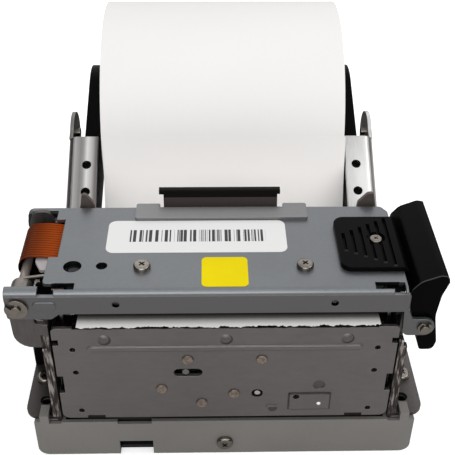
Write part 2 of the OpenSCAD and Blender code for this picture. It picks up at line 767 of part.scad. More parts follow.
module head_cover() {
    ear_top = 62.4;
    plate = [[-47.3, 3.7, 0.8], [47, 3.4, 0], [47, 34.6, 0], [45.4, cover_back, 1.5],
        [-43.6, cover_back, 0.5],
        [-44, 36.4, 0], [-47.3, 36.4, 0.6]];
    flange = [[-57, ear_top, 2], [-56.8, 54.1, 1], [-45.3, 54.1, 1], [-43.2, flange_low, 1],
        [47.6, flange_low, 0],
        [47.6, 51, 0], [49, 51, 0], [49, 61.7, 0], [-43, 61.7, 0], [-49, ear_top, 0]];
    front_line = bent([[4, cover_top - sheet / 2, 0], [sheet / 2, cover_top - sheet / 2, 1.2],
        [sheet / 2, 60, 0]]);
    rear_ear = [[-44.4, 53.8, 0], [-55.6, 53.8, 2.5], [-56.7, 58, 2], [-56.1, cover_top, 2],
        [-44.4, cover_top, 0]];
    color(plate_blue) from_front() difference() {
        union() {
            flat_plate(cover_under, cover_top) polygon(rounded(plate));
            // Front bend, between the two relief notches
            side_plate(-44.1, 43.4) polygon(strip(front_line, sheet));
            side_plate(46.4, 47) polygon(strip(front_line, sheet));
            // The hinge ear's own bend
            side_plate(-56.9, -48.4) polygon(strip(bent([[2.6, cover_top - sheet / 2, 0],
                [sheet / 2, cover_top - sheet / 2, 1.2], [sheet / 2, 60, 0]]), sheet));
            front_plate(0, sheet) {
                polygon(rounded([[-56.9, 61.7, 0], [-56.8, 54.1, 1], [-45.3, 54.1, 1],
                    [-43.2, flange_low, 1],
                    [47.8, flange_low, 0.4], [47.8, 61.7, 0.6]]));
                // Front latch lug
                polygon(rounded([[46.6, 56.2, 0], [47, 47.4, 1.8], [latch_x, 47.4, 0], [latch_x, 53, 0],
                    [49.2, 53, 1], [47.8, 56.2, 0]]));
                circle_at(latch_x - 0.2, latch_z, 2.8);
            }
            // Side wall and rear latch lug
            side_plate(44.9, 46.1)
                polygon(rounded([[0.6, flange_low, 0], [3, 52, 1], [31, 52, 1], [33, 47, 1], [36.8, 47, 0],
                    [36.8, cover_under, 0], [0.6, cover_under, 0]]));
            front_plate(36.4, 36.4 + sheet - 0.4) {
                square_between(44.9, latch_x, latch_z - 3.6, latch_z + 3.8);
                square_between(44.9, 46.1, latch_z, cover_under);
                circle_at(latch_x, latch_z + 0.1, 3.7);
            }
            // Rear hinge ear
            front_plate(36, cover_back) polygon(rounded(rear_ear));
            // Pressed rib beside the hinge
            front_plate(-0.3, 0) polygon(rounded([[-49.8, 57.2, 1.2], [-43.8, 57.2, 1.2],
                [-43.8, 59.9, 1.2],
                [-49.8, 59.9, 1.2]]));
        }
        // Cut-out for the flat cable and the two bend reliefs
        block(-48, -44.8, 14.5, 31.7, cover_under - 1, cover_top + 1);
        block(38.6, 46.4, 0.9, 3.4, cover_under - 1, cover_top + 1);
        block(-44.2, -39, 1.3, 3.8, cover_under - 1, cover_top + 1);
        // Holes
        rod_z(cover_under - 1, cover_top + 1, -40.4, 10.5, 2.4);
        rod_z(cover_under - 1, cover_top + 1, -32.7, 10.7, 1.5);
        for (x = head_screw_x) rod_z(cover_under - 1, cover_top + 1, x, head_screw_y, 1.25);
        rod_z(cover_under - 1, cover_top + 1, pad_screw_x, pad_screw_y, 1.1);
        for (x = [-28.4, 28.2]) rod_y(-1, sheet + 1, x, 59, 1);
        rod_y(-1, 38, hinge_x, hinge_z, hinge_r + fit_gap);
        rod_y(-1, 38, latch_x, latch_z, latch_r);
    }
}

head_screw_x = [-22, 21.1];
head_screw_y = 9.9;
pad_screw_x = 41.4;
pad_screw_y = 20.4;

module head_screws() {
    color(nickel) from_front() for (x = head_screw_x)
        translate([x, head_screw_y, cover_top]) pan_screw(2.3, 1.4, 1.25, 3.6);
}

module rear_stiffener() {
    left = -25.1;
    right = 23.7;
    gap_l = -18.3;
    gap_r = 16.9;
    color(plate_blue) from_front() {
        flat_plate(cover_top, cover_top + 1)
            polygon(rounded([[left, 30.8, 0.6], [right, 30.8, 0.6], [right, 37.8, 0.6],
                [gap_r, 37.8, 0.6], [gap_r, 36, 0],
                [gap_l, 36, 0], [gap_l, 37.8, 0.6], [left, 37.8, 0.6]]));
    }
}

module inlet_guide() {
    lip = bent([[33, 61.35, 0], [38.9, 61.35, 1.2], [40.1, 67.4, 0]], 5);
    tail = bent([[38.2, 61.2, 0], [39.2, 58.4, 1], [41.8, 55.8, 0]], 4);
    color(black) from_front() {
        side_plate(paper_x - 18.2, paper_x + 14.7) {
            polygon(strip(lip, 1.2));
            polygon(strip(tail, 1.2));
        }
        // Thin bead along the top
        side_plate(paper_x - 19.5, paper_x + 15.5)
            polygon(rounded([[39.4, 66.1, 0.3], [41.6, 66.1, 0.6], [41.6, 67.6, 0.6], [39.4, 67.6, 0.5]],
                3));
    }
}

module fixed_blade() {
    low = web_z + 0.6;
    color(bright_steel) from_front() difference() {
        side_plate(-41.6, 41.6) polygon([[5.9, low], [6.9, low + 0.5], [6.9, cover_under - 1.2],
            [13, cover_under - 1.2],
            [13, cover_under], [5.9, cover_under]]);
        for (x = head_screw_x) rod_z(cover_under - 3, cover_under + 1, x, head_screw_y, 1.25);
    }
}

groove_x = [32.5, 34.95, 37.4, 39.85, 42.3, 44.7];

module thumb_pad() {
    low = cover_top;
    high = cover_top + 1.5;
    color(black) from_front() difference() {
        union() {
            flat_plate(low, high) polygon(rounded([[30.5, 7.6, 2.4], [48.1, 7.6, 0.4], [48.1, 30.2, 0.4],
                [30.5, 30.2, 2.4]]));
        }
        // Finger grooves, longer towards the right
        for (i = [0:5]) {
            first = 15.4 - 1.26 * i;
            last = 22.6 + 1.4 * i;
            flat_plate(high - 0.9, high + 1) translate([groove_x[i], 0]) rotate([0, 0, 90])
                slot_2d((first + last) / 2, 0, (last - first) / 2 - 0.6, 0.6);
        }
        rod_z(low - 1, high + 1, pad_screw_x, pad_screw_y, 1.1);
        rod_z(low + 0.5, high + 1, pad_screw_x, pad_screw_y, 2.5);
    }
}

module pad_screw() {
    color(nickel) from_front() translate([pad_screw_x, pad_screw_y, cover_top + 0.5])
        pan_screw(2, 0.9, 1.1, 3);
}

module head_heatsink() {
    color([0.74, 0.75, 0.75]) from_front() difference() {
        union() {
            block(-42, 42, 8.4, 30, 53.05, 56.4);
            block(-43.4, -42, 11.4, 26, 53.8, 61.4);
            // Tongue that rests over the frame beside the hinge
            flat_plate(60.4, 61.4) polygon([[-43.4, 11.4], [-49.3, 11.4], [-51, 14.9], [-51, 20],
                [-43.4, 20]]);
        }
        for (x = [-36:6:36]) block(x - 1.6, x + 1.6, 24, 31, 54.6, 57);
        for (x = spring_x) rod_z(55.4, 57, x, spring_y, 3.3);
    }
}

spring_x = [-30, 0, 30];
spring_y = 19;

module head_springs() {
    color(bright_steel) from_front() for (x = spring_x)
        translate([x, spring_y, 55.4]) coil(2.7, 0.3, 4, cover_under - 55.4, 14, 6);
}

module printhead() {
    color([0.85, 0.86, 0.82]) from_front() {
        block(-41.5, 41.5, 11, 21, 52.35, 53.05);
        // Driver board, its tail round the back of the heat sink, and the connector
        block(-41, 41, 21, 30.5, 52.6, 53.05);
        block(-41, -37, 30, 30.5, 52.6, 56.9);
        block(-41, -37, 16, 30.5, 56.4, 56.9);
        block(-42, -37, cable_y0 - 0.4, cable_y1 + 0.2, 56.9, 61.45);
    }
}

module label(x0, x1, y0, y1, r) {
    flat_plate(cover_top, cover_top + 0.1)
        polygon(rounded([[x0, y0, r], [x1, y0, r], [x1, y1, r], [x0, y1, r]]));
}

module white_label() { color(white) from_front() label(-32.3, 17, 16.1, 30.6, 2); }

module yellow_label() { color([0.95, 0.86, 0.12]) from_front() label(-6.3, 5.9, 1.9, 14, 1.4); }

// ---- Latch ----

module latch_shaft() {
    color(nickel) from_front() difference() {
        rod_y(-1.3, 38.6, latch_x, latch_z, latch_r);
        for (y = [-0.75, 37.25]) groove_y(y, y + 0.6, latch_x, latch_z, latch_r, 0.8);
    }
}

module latch_clips() {
    color(nickel) from_front() for (y = [-0.7, 37.3])
        translate([latch_x, y, latch_z]) e_ring(2, 0.8, 0.5, 90);
}

// The lever seen from the front: the grip, the front end and the end that carries the hook
lever_grip = [[47.9, 58.6, 2], [48.3, 61.6, 3], [50.4, 64.3, 4], [55.2, 66.3, 1.6], [57.3, 66, 0.9],
    [57.6, 64.4, 1],
    [55.8, 59.4, 6], [55.5, 56, 2], [52, 54, 2]];
lever_front = [[47.9, 58.6, 2], [48.3, 61.6, 3], [50.4, 64.3, 4], [55.2, 66.3, 1.6], [57.3, 66, 0.9],
    [57.6, 64.4, 1],
    [56.2, 60, 6], [55.5, 53, 12], [57.1, 43.6, 2], [56.4, 40.7, 1.6], [52.7, 40.7, 1], [49.6, 51.5, 3]];
lever_hook = [[49.6, 58, 1], [49.4, 47.4, 1], [51.2, 43.4, 0], [51.2, 41, 0], [50.5, 41, 0.3],
    [50.5, 39.6, 0],
    [54.6, 39.6, 1.5], [56, 44, 3], [55.6, 58, 1]];

module latch_lever() {
    color(black) from_front() difference() {
        union() {
            front_plate(6, 35.8) polygon(rounded(lever_grip, 8));
            front_plate(1.5, 6.6) polygon(rounded(lever_front, 8));
            front_plate(30.6, 35.8) polygon(rounded(lever_hook, 6));
        }
        rod_y(0, 37, latch_x, latch_z, latch_r + fit_gap);
        // The grip is hollow underneath
        front_plate(8.4, 28.8) polygon(rounded([[50.2, 52, 0], [49.6, 58.6, 1.5], [51.6, 62.2, 1.5],
            [55, 63.2, 1.5],
            [53.8, 58, 2], [54, 52, 0]]));
    }
}

module latch_spring() {
    color(bright_steel) from_front() union() {
        translate([latch_x, 13.2, latch_z]) rotate([90, 0, 0]) coil(2.2, 0.35, 6.5, 5, 16, 6);
        // One leg in the lever, the other against the head cover's side wall
        rod_xz([latch_x, latch_z + 2.2], [latch_x + 0.6, 58.5], 12.8, 0.35);
        rod_xz([latch_x - 2.2, latch_z], [46.6, 57.4], 8.7, 0.35);
    }
}

// ---- Roll arms and brackets ----

// The bracket's channel, in its own slanted frame: u runs up the slope, v away from the face
module on_slope() {
    translate([bracket_y, bracket_z]) rotate([0, 0, slope]) children();
}

module bracket_side() {
    difference() {
        union() {
            polygon(rounded([[46, foot_top, 0], [46, 27, 4], [52, 36.4, 3], [85.1, 57.6, 1], [90, 50, 3],
                [70, 34.6, 6], [66, foot_top, 0]]));
            on_slope() translate([-5, -9]) square([9, 9 - bracket_bend]);
            circle_at(pin_y, pin_z, 8.4);
            polygon([[84, 50], [85.4, 57], [pin_y, pin_z + 8.4], [pin_y + 2, 48]]);
        }
        circle_at(pin_y, pin_z + 1.4, 1.6);
    }
}

module arm_bracket() {
    color(bright_steel) from_front() difference() {
        union() {
            side_plate(bracket_out - sheet, bracket_out) intersection() {
                bracket_side();
                union() {
                    on_slope() translate([-60, -60]) square([60, 60 - bracket_bend]);
                    on_slope() translate([0, -60]) square([40, 80]);
                    translate([40, 0]) square([30, 30]);
                }
            }
            // Slanted face with its rounded outer bend
            translate([0, bracket_y, bracket_z]) rotate([slope, 0, 0]) translate([0, -40, 0])
                rotate([-90, 0, 0]) linear_extrude(height = 40) difference() {
                    polygon(rounded([[bracket_in, 0, 0.4], [bracket_out, 0, bracket_bend],
                        [bracket_out, 6, 0], [bracket_in, 6, 0]], 8));
                    polygon(rounded([[bracket_in - 1, sheet, 0],
                        [bracket_out - sheet, sheet, bracket_bend - sheet],
                        [bracket_out - sheet, 7, 0], [bracket_in - 1, 7, 0]], 8));
                }
            // Foot flange
            block(bracket_out - sheet, foot_out, 46, 70, foot_top, foot_top + sheet);
        }
        for (y = foot_screw_y) rod_z(foot_top - 1, foot_top + 3, foot_screw_x, y, 2.6);
        for (y = bracket_screw_y) rod_z(foot_top - 1, foot_top + 3, bracket_screw_x, y, 1.5);
        // Two holes in the face
        for (u = [-10.4, -20.1]) translate([0, bracket_y, bracket_z]) rotate([slope, 0, 0])
            translate([44.8, u, -3]) cylinder(h = 5, r = 1.5);
        for (p = arm_fixings) rod_x(bracket_out - sheet - 1, bracket_out + 1, p[0], p[1], fixing_r);
    }
}

// Where pins fix the arm in the bracket's channel
fixing_r = 1.4;
arm_fixings = [for (u = [-7, -21])
    [bracket_y + u * cos(slope) + 5.6 * sin(slope), bracket_z + u * sin(slope) - 5.6 * cos(slope)]];

bracket_screw_x = 54.9;
bracket_screw_y = [50, 58];

module left_arm_bracket() { mirror([1, 0, 0]) arm_bracket(); }

module right_arm_bracket() { arm_bracket(); }

module bracket_screws() {
    color(nickel) from_front() for (y = bracket_screw_y) for (x = [-bracket_screw_x, bracket_screw_x])
        translate([x, y, foot_top + sheet]) pan_screw(2.2, 1.5, 1.5, 2.3);
}

module arm_pins() {
    color(nickel) from_front() both_sides() {
        // Rivet in the bracket's ear
        rod_x(bracket_out - sheet - 1.3, bracket_out + 0.3, pin_y, pin_z + 1.4, 1.6);
        // Fixing pins, riveted flush
        for (p = arm_fixings) rod_x(arm_out - 1, bracket_out, p[0], p[1], fixing_r);
    }
}

arm_knee = [92.5, 49.2];

module arm_outline() {
    hull() {
        circle_at(roll_y, roll_z, 16);
        circle_at(arm_knee[0], arm_knee[1], 9);
    }
    hull() {
        circle_at(arm_knee[0], arm_knee[1], 9);
        circle_at(66, 35, 5);
    }
}

module roll_arm() {
    color(black) from_front() difference() {
        union() {
            side_plate(arm_in, arm_out) arm_outline();
            // Root that fills the bracket's channel
            translate([0, bracket_y, bracket_z]) rotate([slope, 0, 0]) translate([0, -27, 0])
                rotate([-90, 0, 0]) linear_extrude(height = 24.5)
                    polygon(rounded([[arm_in, 1.3, 0], [bracket_out - sheet, 1.3, bracket_bend - 0.7],
                        [bracket_out - sheet, 8, 0], [arm_in, 8, 0]], 8));
            // Hub that the core turns on
            rod_x(roll_x + paper_w / 2 - 8, arm_in, roll_y, roll_z, core_d / 2 - 2.05);
        }
        // Dished outer face, which leaves a rim and a boss
        side_plate(arm_out - 2.6, arm_out + 1) difference() {
            circle_at(roll_y, roll_z, 14.2);
            circle_at(roll_y, roll_z, 5);
        }
        for (p = arm_fixings) rod_x(arm_out - 1, bracket_out, p[0], p[1], fixing_r);
        rod_x(roll_x + 20, arm_out + 1, roll_y, roll_z, 2);
    }
}

module left_roll_arm() { mirror([1, 0, 0]) roll_arm(); }

module right_roll_arm() { roll_arm(); }

module roll_core() {
    color([0.66, 0.55, 0.42]) from_front() difference() {
        rod_x(roll_x - paper_w / 2, roll_x + paper_w / 2, roll_y, roll_z, core_d / 2);
        rod_x(roll_x - paper_w, roll_x + paper_w, roll_y, roll_z, core_d / 2 - 2);
    }
}

module paper_roll() {
    color(white) from_front() difference() {
        rod_x(roll_x - paper_w / 2, roll_x + paper_w / 2, roll_y, roll_z, roll_r, $fn = 120);
        rod_x(roll_x - paper_w, roll_x + paper_w, roll_y, roll_z, core_d / 2);
    }
}

// Line of the chute that guides the paper from the roll up to the platen
function chute_line() = concat([[24.4, 51.15]], curve([30, 50.6], [38, 49.8], [44, 46.8], [50, 40.4], 8));

// The same line moved sideways
function beside(line, d) =
    let (n = len(line))
    [for (i = [0:n - 1]) let (u = unit(line[min(i + 1, n - 1)] - line[max(i - 1, 0)]))
        line[i] + [-u[1], u[0]] * d];

// Where the paper leaves the underside of the roll, on its straight way to a point
function leaves_roll(point) =
    let (v = point - [roll_y, roll_z], a = atan2(v[1], v[0]) + acos((roll_r + 0.2) / norm(v)))
    [roll_y, roll_z] + (roll_r + 0.2) * [cos(a), sin(a)];

function web_line() =
    let (chute = beside(chute_line(), 0.9), mouth = chute[len(chute) - 1] + [1.6, -1.1])
    concat([[blade_y + blade_t + 0.3, web_z + skin / 2]], chute, [mouth, leaves_roll(mouth)]);

module paper_web() {
    color(white) from_front()
        side_plate(paper_x - paper_w / 2, paper_x + paper_w / 2) polygon(strip(web_line(), skin));
}

module paper_end() {
    color(white) from_front() block(paper_x - paper_w / 2, paper_x + paper_w / 2, -2, blade_y - 0.35,
        web_z, web_z + skin);
}

module paper_guide() {
    // Chute under the paper, from the platen back to the inlet
    color(black) from_front() difference() {
        union() {
            side_plate(paper_x - paper_w / 2 - 1, paper_x + paper_w / 2 + 1)
                polygon(strip(chute_line(), 1.2));
            for (x = [-40:16:40]) side_plate(x - 0.6, x + 0.6) {
                polygon([[24.6, 51], [24.6, 48.3], [36.8, 48.5], [36.8, 49.6], [30, 50.6]]);
                polygon([[41, 47.9], [49.6, 40.7], [49.6, 37.4], [41, 44.6]]);
            }
            block(-wall_in, wall_in, 24.8, 27, 46, 50.9);
        }
    }
}

// ---- Electronics in the tray ----

module control_board() {
    color([0.09, 0.32, 0.18]) from_front() difference() {
        flat_plate(board_z, board_z + 1.6)
            polygon(rounded([[-46, 46, 2], [46, 46, 2], [46, 95, 2], [-46, 95, 2]]));
        for (x = standoff_x) for (y = standoff_y) rod_z(board_z - 1, board_z + 3, x, y, 1.25);
    }
}

module board_headers() {
    top = board_z + 1.6;
    color(white) from_front() {
        block(10, 22, 86, 97.6, top, top + 6.2);
        block(26, 40, 86, 97.6, top, top + 6.2);
        block(-38, -22, 50, 56, top, top + 5);
        block(-14, -4, 50, 56, top, top + 5);
        block(-22, -8, 66, 80, top, top + 1.4);
        block(14, 30, 62, 70, top, top + 1.6);
    }
}

module board_screws() {
    color(nickel) from_front() for (x = standoff_x) for (y = standoff_y)
        translate([x, y, board_z + 1.6]) pan_screw(2.3, 1.4, 1.25, 5);
}

base_tray();
tray_screws();
left_side_frame();
right_side_frame();
rear_cross_plate();
cutter_front_plate();
cutter_rivets();
cutter_back_plate();
cutter_motor();
exit_guide();
guide_pins();
cutter_slide();
moving_blade();
cutter_pinion();
platen_roller();
platen_shaft();
platen_bushes();
platen_gear();
idler_gear();
idler_post();
feed_motor();
feed_pinion();
gear_cover();
hinge_shaft();
hinge_clips();
hinge_spring();
flex_socket();
flex_cable();
catch_pin();
head_cover();
rear_stiffener();
inlet_guide();
fixed_blade();
head_screws();
thumb_pad();
pad_screw();
printhead();
head_heatsink();
head_springs();
white_label();
yellow_label();
latch_shaft();
latch_clips();
latch_lever();
latch_spring();
left_arm_bracket();
right_arm_bracket();
bracket_screws();
arm_pins();
left_roll_arm();
right_roll_arm();
roll_core();
paper_roll();
paper_web();
paper_end();
paper_guide();
control_board();
board_headers();
board_screws();
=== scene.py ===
import json
import math
import random

import bpy
from mathutils import Matrix, Vector

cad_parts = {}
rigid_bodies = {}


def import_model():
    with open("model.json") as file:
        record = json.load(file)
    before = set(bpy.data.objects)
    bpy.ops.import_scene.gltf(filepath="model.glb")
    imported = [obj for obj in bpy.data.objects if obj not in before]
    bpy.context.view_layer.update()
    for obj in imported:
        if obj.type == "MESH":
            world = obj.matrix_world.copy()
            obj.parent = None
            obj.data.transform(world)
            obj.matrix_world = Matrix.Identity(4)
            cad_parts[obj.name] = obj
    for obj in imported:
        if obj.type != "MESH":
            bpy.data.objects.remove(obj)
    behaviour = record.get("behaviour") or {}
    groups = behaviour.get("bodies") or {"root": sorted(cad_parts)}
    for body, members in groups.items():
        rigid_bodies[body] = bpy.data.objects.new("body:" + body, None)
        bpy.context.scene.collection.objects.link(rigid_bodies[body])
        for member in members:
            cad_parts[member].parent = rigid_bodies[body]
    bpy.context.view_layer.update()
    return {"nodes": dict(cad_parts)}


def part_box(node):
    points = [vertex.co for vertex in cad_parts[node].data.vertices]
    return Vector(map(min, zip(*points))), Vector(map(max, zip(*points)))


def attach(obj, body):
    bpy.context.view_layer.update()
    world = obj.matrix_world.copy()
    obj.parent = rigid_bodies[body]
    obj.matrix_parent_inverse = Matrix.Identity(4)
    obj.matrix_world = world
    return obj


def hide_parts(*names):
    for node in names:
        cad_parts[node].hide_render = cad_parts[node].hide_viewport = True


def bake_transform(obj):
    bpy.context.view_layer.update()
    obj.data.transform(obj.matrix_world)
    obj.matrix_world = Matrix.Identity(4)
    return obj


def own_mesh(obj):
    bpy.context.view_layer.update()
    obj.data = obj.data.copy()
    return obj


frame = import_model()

# ---- Base tray ----
# The tray is folded from sheet steel and painted a warm grey with a fine texture. Its front wall
# has a locating notch at the top and a larger one below, and two tabs hook over the side frames.

MM = 0.001


class Channel:
    """One output of a material's nodes, so that its shading can be written as sums."""

    def __init__(self, finish, socket):
        self.finish, self.socket = finish, socket

    def reckon(self, operation, a, b):
        """One step of arithmetic."""
        return self.finish.node("ShaderNodeMath", {"operation": operation}, {0: a, 1: b})

    def __add__(self, other):
        return self.reckon("ADD", self, other)

    __radd__ = __add__

    def __sub__(self, other):
        return self.reckon("SUBTRACT", self, other)

    def __rsub__(self, other):
        return self.reckon("SUBTRACT", other, self)

    def __mul__(self, other):
        return self.reckon("MULTIPLY", self, other)

    __rmul__ = __mul__

    def __abs__(self):
        return self.reckon("ABSOLUTE", self, 0.0)

    def __gt__(self, other):
        return self.reckon("GREATER_THAN", self, other)

    def __lt__(self, other):
        return self.reckon("LESS_THAN", self, other)


class Finish:
    """A material, built node by node."""

    def __init__(self, name, metallic=0.0, roughness=0.5, colour=(0.5, 0.5, 0.5), **more):
        self.material = bpy.data.materials.new(name)
        self.material.use_nodes = True
        self.tree = self.material.node_tree
        self.shader = self.tree.nodes["Principled BSDF"]
        self.set("Metallic", metallic)
        self.set("Roughness", roughness)
        self.set("Base Color", (*colour, 1))
        for name, value in more.items():
            self.set(name.replace("_", " ").title().replace("Ior", "IOR"), value)
        self.place = self.node("ShaderNodeTexCoord", out="Object")

    def set(self, name, value):
        """Gives one property of the finish a value or a channel."""
        self.put(self.shader.inputs[name], value)

    def put(self, socket, value):
        """Links a channel to a socket, or gives the socket its value."""
        if isinstance(value, Channel):
            self.tree.links.new(value.socket, socket)
        else:
            socket.default_value = value

    def node(self, kind, settings=None, values=None, out=0):
        """Adds a node with its settings, then the values or channels of its sockets."""
        made = self.tree.nodes.new(kind)
        for name, value in (settings or {}).items():
            if name == "stops":
                ramp = made.color_ramp
                while len(ramp.elements) < len(value):
                    ramp.elements.new(0.5)
                for element, (at, grey) in zip(ramp.elements, value):
                    element.position = at
                    element.color = (grey, grey, grey, 1) if isinstance(grey, (int, float)) else (*grey, 1)
            else:
                setattr(made, name, value)
        for name, value in (values or {}).items():
            self.put(made.inputs[name], value)
        return Channel(self, made.outputs[out])

    def noise(self, scale, detail, stretch=None):
        """Cloudy noise, drawn out where an axis of stretch is small."""
        place = self.place
        if stretch:
            place = self.node("ShaderNodeMapping", {}, {"Vector": self.place, "Scale": stretch})
        return self.node("ShaderNodeTexNoise", {},
                         {"Vector": place, "Scale": scale, "Detail": detail, "Roughness": 0.55}, out="Fac")

    def lines(self, across, scale, detail):
        """Noise along one line only, for bars and layers."""
        return self.node("ShaderNodeTexNoise", {"noise_dimensions": "1D"},
                         {"W": across, "Scale": scale, "Detail": detail}, out="Fac")

    def ramp(self, factor, *stops):
        """A grey or a colour that follows a factor from stop to stop."""
        return self.node("ShaderNodeValToRGB", {"stops": stops}, {"Fac": factor}, out="Color")

    def between(self, factor, a, b):
        """A colour between two others."""
        a, b = [c if isinstance(c, Channel) else (*c, 1) for c in (a, b)]
        return self.node("ShaderNodeMix", {"data_type": "RGBA"}, {0: factor, 6: a, 7: b}, out=2)

    def bump(self, height, depth, strength, normal=None):
        """A surface raised and lowered by a channel."""
        values = {"Height": height, "Distance": depth, "Strength": strength}
        if normal:
            values["Normal"] = normal
        return self.node("ShaderNodeBump", {}, values, out="Normal")

    def soft_edge(self, radius):
        """A surface whose edges shade as if rounded."""
        return self.node("ShaderNodeBevel", {"samples": 4}, {"Radius": radius}, out="Normal")

    def metres(self, axis):
        """Where a point is on one axis."""
        return self.node("ShaderNodeSeparateXYZ", {}, {0: self.place}, out=axis)

    def along(self, axis):
        """Where a point is on one axis, in millimetres."""
        return self.metres(axis) * 1000

    def facing(self, axis):
        """How far a surface faces along one of the piece's own axes."""
        way = self.node("ShaderNodeTexCoord", out="Normal")
        return self.node("ShaderNodeSeparateXYZ", {}, {0: way}, out=axis)

    def round_spot(self, x, z, radius):
        """1 inside a circle on a front face, in millimetres."""
        aside, above = self.along("X") - x, self.along("Z") - z
        return aside * aside + above * above < radius * radius

    def tint(self, where, colour):
        """Blends the colour towards another one."""
        self.tone = self.between(where, self.tone, colour)
        self.set("Base Color", self.tone)

    def corner(self, radius):
        """0 on flat parts, rising to 1 on a sharp edge."""
        flat = self.node("ShaderNodeNewGeometry", out="True Normal")
        likeness = self.node("ShaderNodeVectorMath", {"operation": "DOT_PRODUCT"},
                             {0: flat, 1: self.soft_edge(radius)}, out="Value")
        return self.ramp(likeness, (0.72, 1.0), (0.985, 0.0))


def dress(finish, *nodes):
    """Gives CAD nodes their finish."""
    for name in nodes:
        mesh = frame["nodes"][name].data
        mesh.materials.clear()
        mesh.materials.append(finish.material)


tray_paint = Finish("tray_paint", metallic=0.3, roughness=0.5)
cloud = tray_paint.noise(35, 4)
speckle = tray_paint.noise(1500, 2)
tray_paint.tone = tray_paint.between(0.6 * cloud + 0.4 * speckle,
                                     (0.136, 0.129, 0.121), (0.222, 0.212, 0.199))
# Little light falls behind the front wall
within = ((tray_paint.along("Y") > -48.9) * (abs(tray_paint.along("X")) < 53.8)
          * (tray_paint.along("Z") < 13.7))
tray_paint.tint(within * tray_paint.ramp((tray_paint.along("Y") + 48.9) * 0.03, (0.4, 0.97), (1.0, 0.3)),
                (0.004, 0.004, 0.004))
tray_paint.set("Roughness", 0.42 + 0.16 * speckle)
tray_paint.set("Normal", tray_paint.bump(speckle, 0.03 * MM, 0.6, tray_paint.soft_edge(0.25 * MM)))
dress(tray_paint, "base_tray")

# ---- Screws ----
# Pan head machine screws with a cross recess, nickel plated. Four hold the side frames' feet and
# one the tray's front wall. The brackets, the board, the head cover and the thumb pad have more.


def alone():
    """Deselects everything, so that an operator works on its own piece only."""
    bpy.ops.object.select_all(action="DESELECT")


def freeze():
    """Puts the place of the piece in hand into its mesh."""
    bpy.ops.object.transform_apply(location=True, rotation=True, scale=True)


def pick(test, kind="FACE"):
    """Selects what passes a test on its middle and direction, and stays in edit mode."""
    bpy.ops.object.mode_set(mode="EDIT")
    bpy.ops.mesh.select_mode(type=kind)
    bpy.ops.mesh.select_all(action="DESELECT")
    bpy.ops.object.mode_set(mode="OBJECT")
    mesh = bpy.context.object.data
    if kind == "FACE":
        for face in mesh.polygons:
            face.select = bool(test(face.center, face.normal))
    elif kind == "EDGE":
        for edge in mesh.edges:
            a, b = [mesh.vertices[i].co for i in edge.vertices]
            edge.select = bool(test((a + b) / 2, (b - a).normalized()))
    else:
        for point in mesh.vertices:
            point.select = bool(test(point.co, point.normal))
    bpy.ops.object.mode_set(mode="EDIT")


def block(middle, size, turn=0):
    """Leaves a plain block in hand, to be shaped."""
    alone()
    bpy.ops.mesh.primitive_cube_add(size=1, location=middle, rotation=(0, 0, turn))
    bpy.context.object.scale = size
    freeze()


def rod(middle, radius, length, turn=(0, 0, 0), sides=40):
    """Leaves a plain round rod in hand, upright unless it's turned."""
    alone()
    bpy.ops.mesh.primitive_cylinder_add(vertices=sides, radius=radius, depth=length, location=middle,
                                        rotation=turn)
    freeze()


def sheet(middle, size, cuts=(1, 1)):
    """Leaves a flat sheet in hand, cut into a grid."""
    alone()
    bpy.ops.mesh.primitive_grid_add(x_subdivisions=cuts[0], y_subdivisions=cuts[1], size=1, location=middle)
    bpy.context.object.scale = (*size, 1)
    freeze()


def pull(*move, kind="region"):
    """Draws what is picked out of the piece, faces by default."""
    getattr(bpy.ops.mesh, f"extrude_{kind}_move")(TRANSFORM_OT_translate={"value": move})


def bevel(test, width, segments, kind="EDGE", **settings):
    """Rounds the edges that pass a test, or the edges of the faces that do."""
    pick(test, kind)
    bpy.ops.mesh.bevel(offset=width, segments=segments, affect="EDGES", **settings)


def change(kind, **settings):
    """Adds a modifier to the piece in hand and applies it."""
    bpy.ops.object.mode_set(mode="OBJECT")
    made = bpy.context.object.modifiers.new(kind.lower(), kind)
    for name, value in settings.items():
        setattr(made, name, value)
    bpy.ops.object.modifier_apply(modifier=made.name)


def settle(name, body, slot, finish, *nodes, smooth=35):
    """Names, smooths and dresses the piece in hand, and sets it on its body if it has one."""
    bpy.ops.object.mode_set(mode="OBJECT")
    piece = bpy.context.object
    piece.name = piece.data.name = name
    bpy.ops.object.shade_smooth_by_angle(angle=math.radians(smooth))
    change("WEIGHTED_NORMAL", keep_sharp=True)
    piece.data.materials.clear()
    piece.data.materials.append(finish.material)
    if body:
        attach(piece, body)
    if nodes:
        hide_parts(*nodes)
    return piece


def carve(cutters):
    """Cuts pieces out of the piece in hand."""
    for cutter in cutters:
        change("BOOLEAN", operation="DIFFERENCE", object=cutter, solver="EXACT")
        bpy.data.objects.remove(cutter)


def sheet_steel(name, dark, light, roughness, grain=(1.0, 12.0, 12.0), metallic=0.85, edge=0.15):
    """Rolled or plated steel, streaked along its grain, its sharp edges lighter as cut metal and painted
    highlight.
    """
    steel = Finish(name, metallic=metallic, roughness=roughness)
    cloud = steel.noise(28, 5)
    streak = steel.noise(260, 4, stretch=grain)
    fine = steel.noise(2600, 2)
    tone = 0.6 * cloud + 0.4 * streak
    steel.tone = steel.between(steel.ramp(tone, (0.3, 0.0), (0.7, 1.0)), dark, light)
    # Sharp edges are painted lighter, partly as bare cut metal and partly as painted highlight
    steel.tone = steel.between(steel.corner(edge * MM) * 0.35, steel.tone, [min(0.8, 2.2 * c) for c in light])
    steel.set("Base Color", steel.tone)
    steel.set("Roughness", roughness - 0.08 + 0.12 * streak + 0.06 * fine)
    steel.set("Normal", steel.bump(0.6 * streak + 0.4 * fine, 0.01 * MM, 0.5, steel.soft_edge(edge * MM)))
    return steel


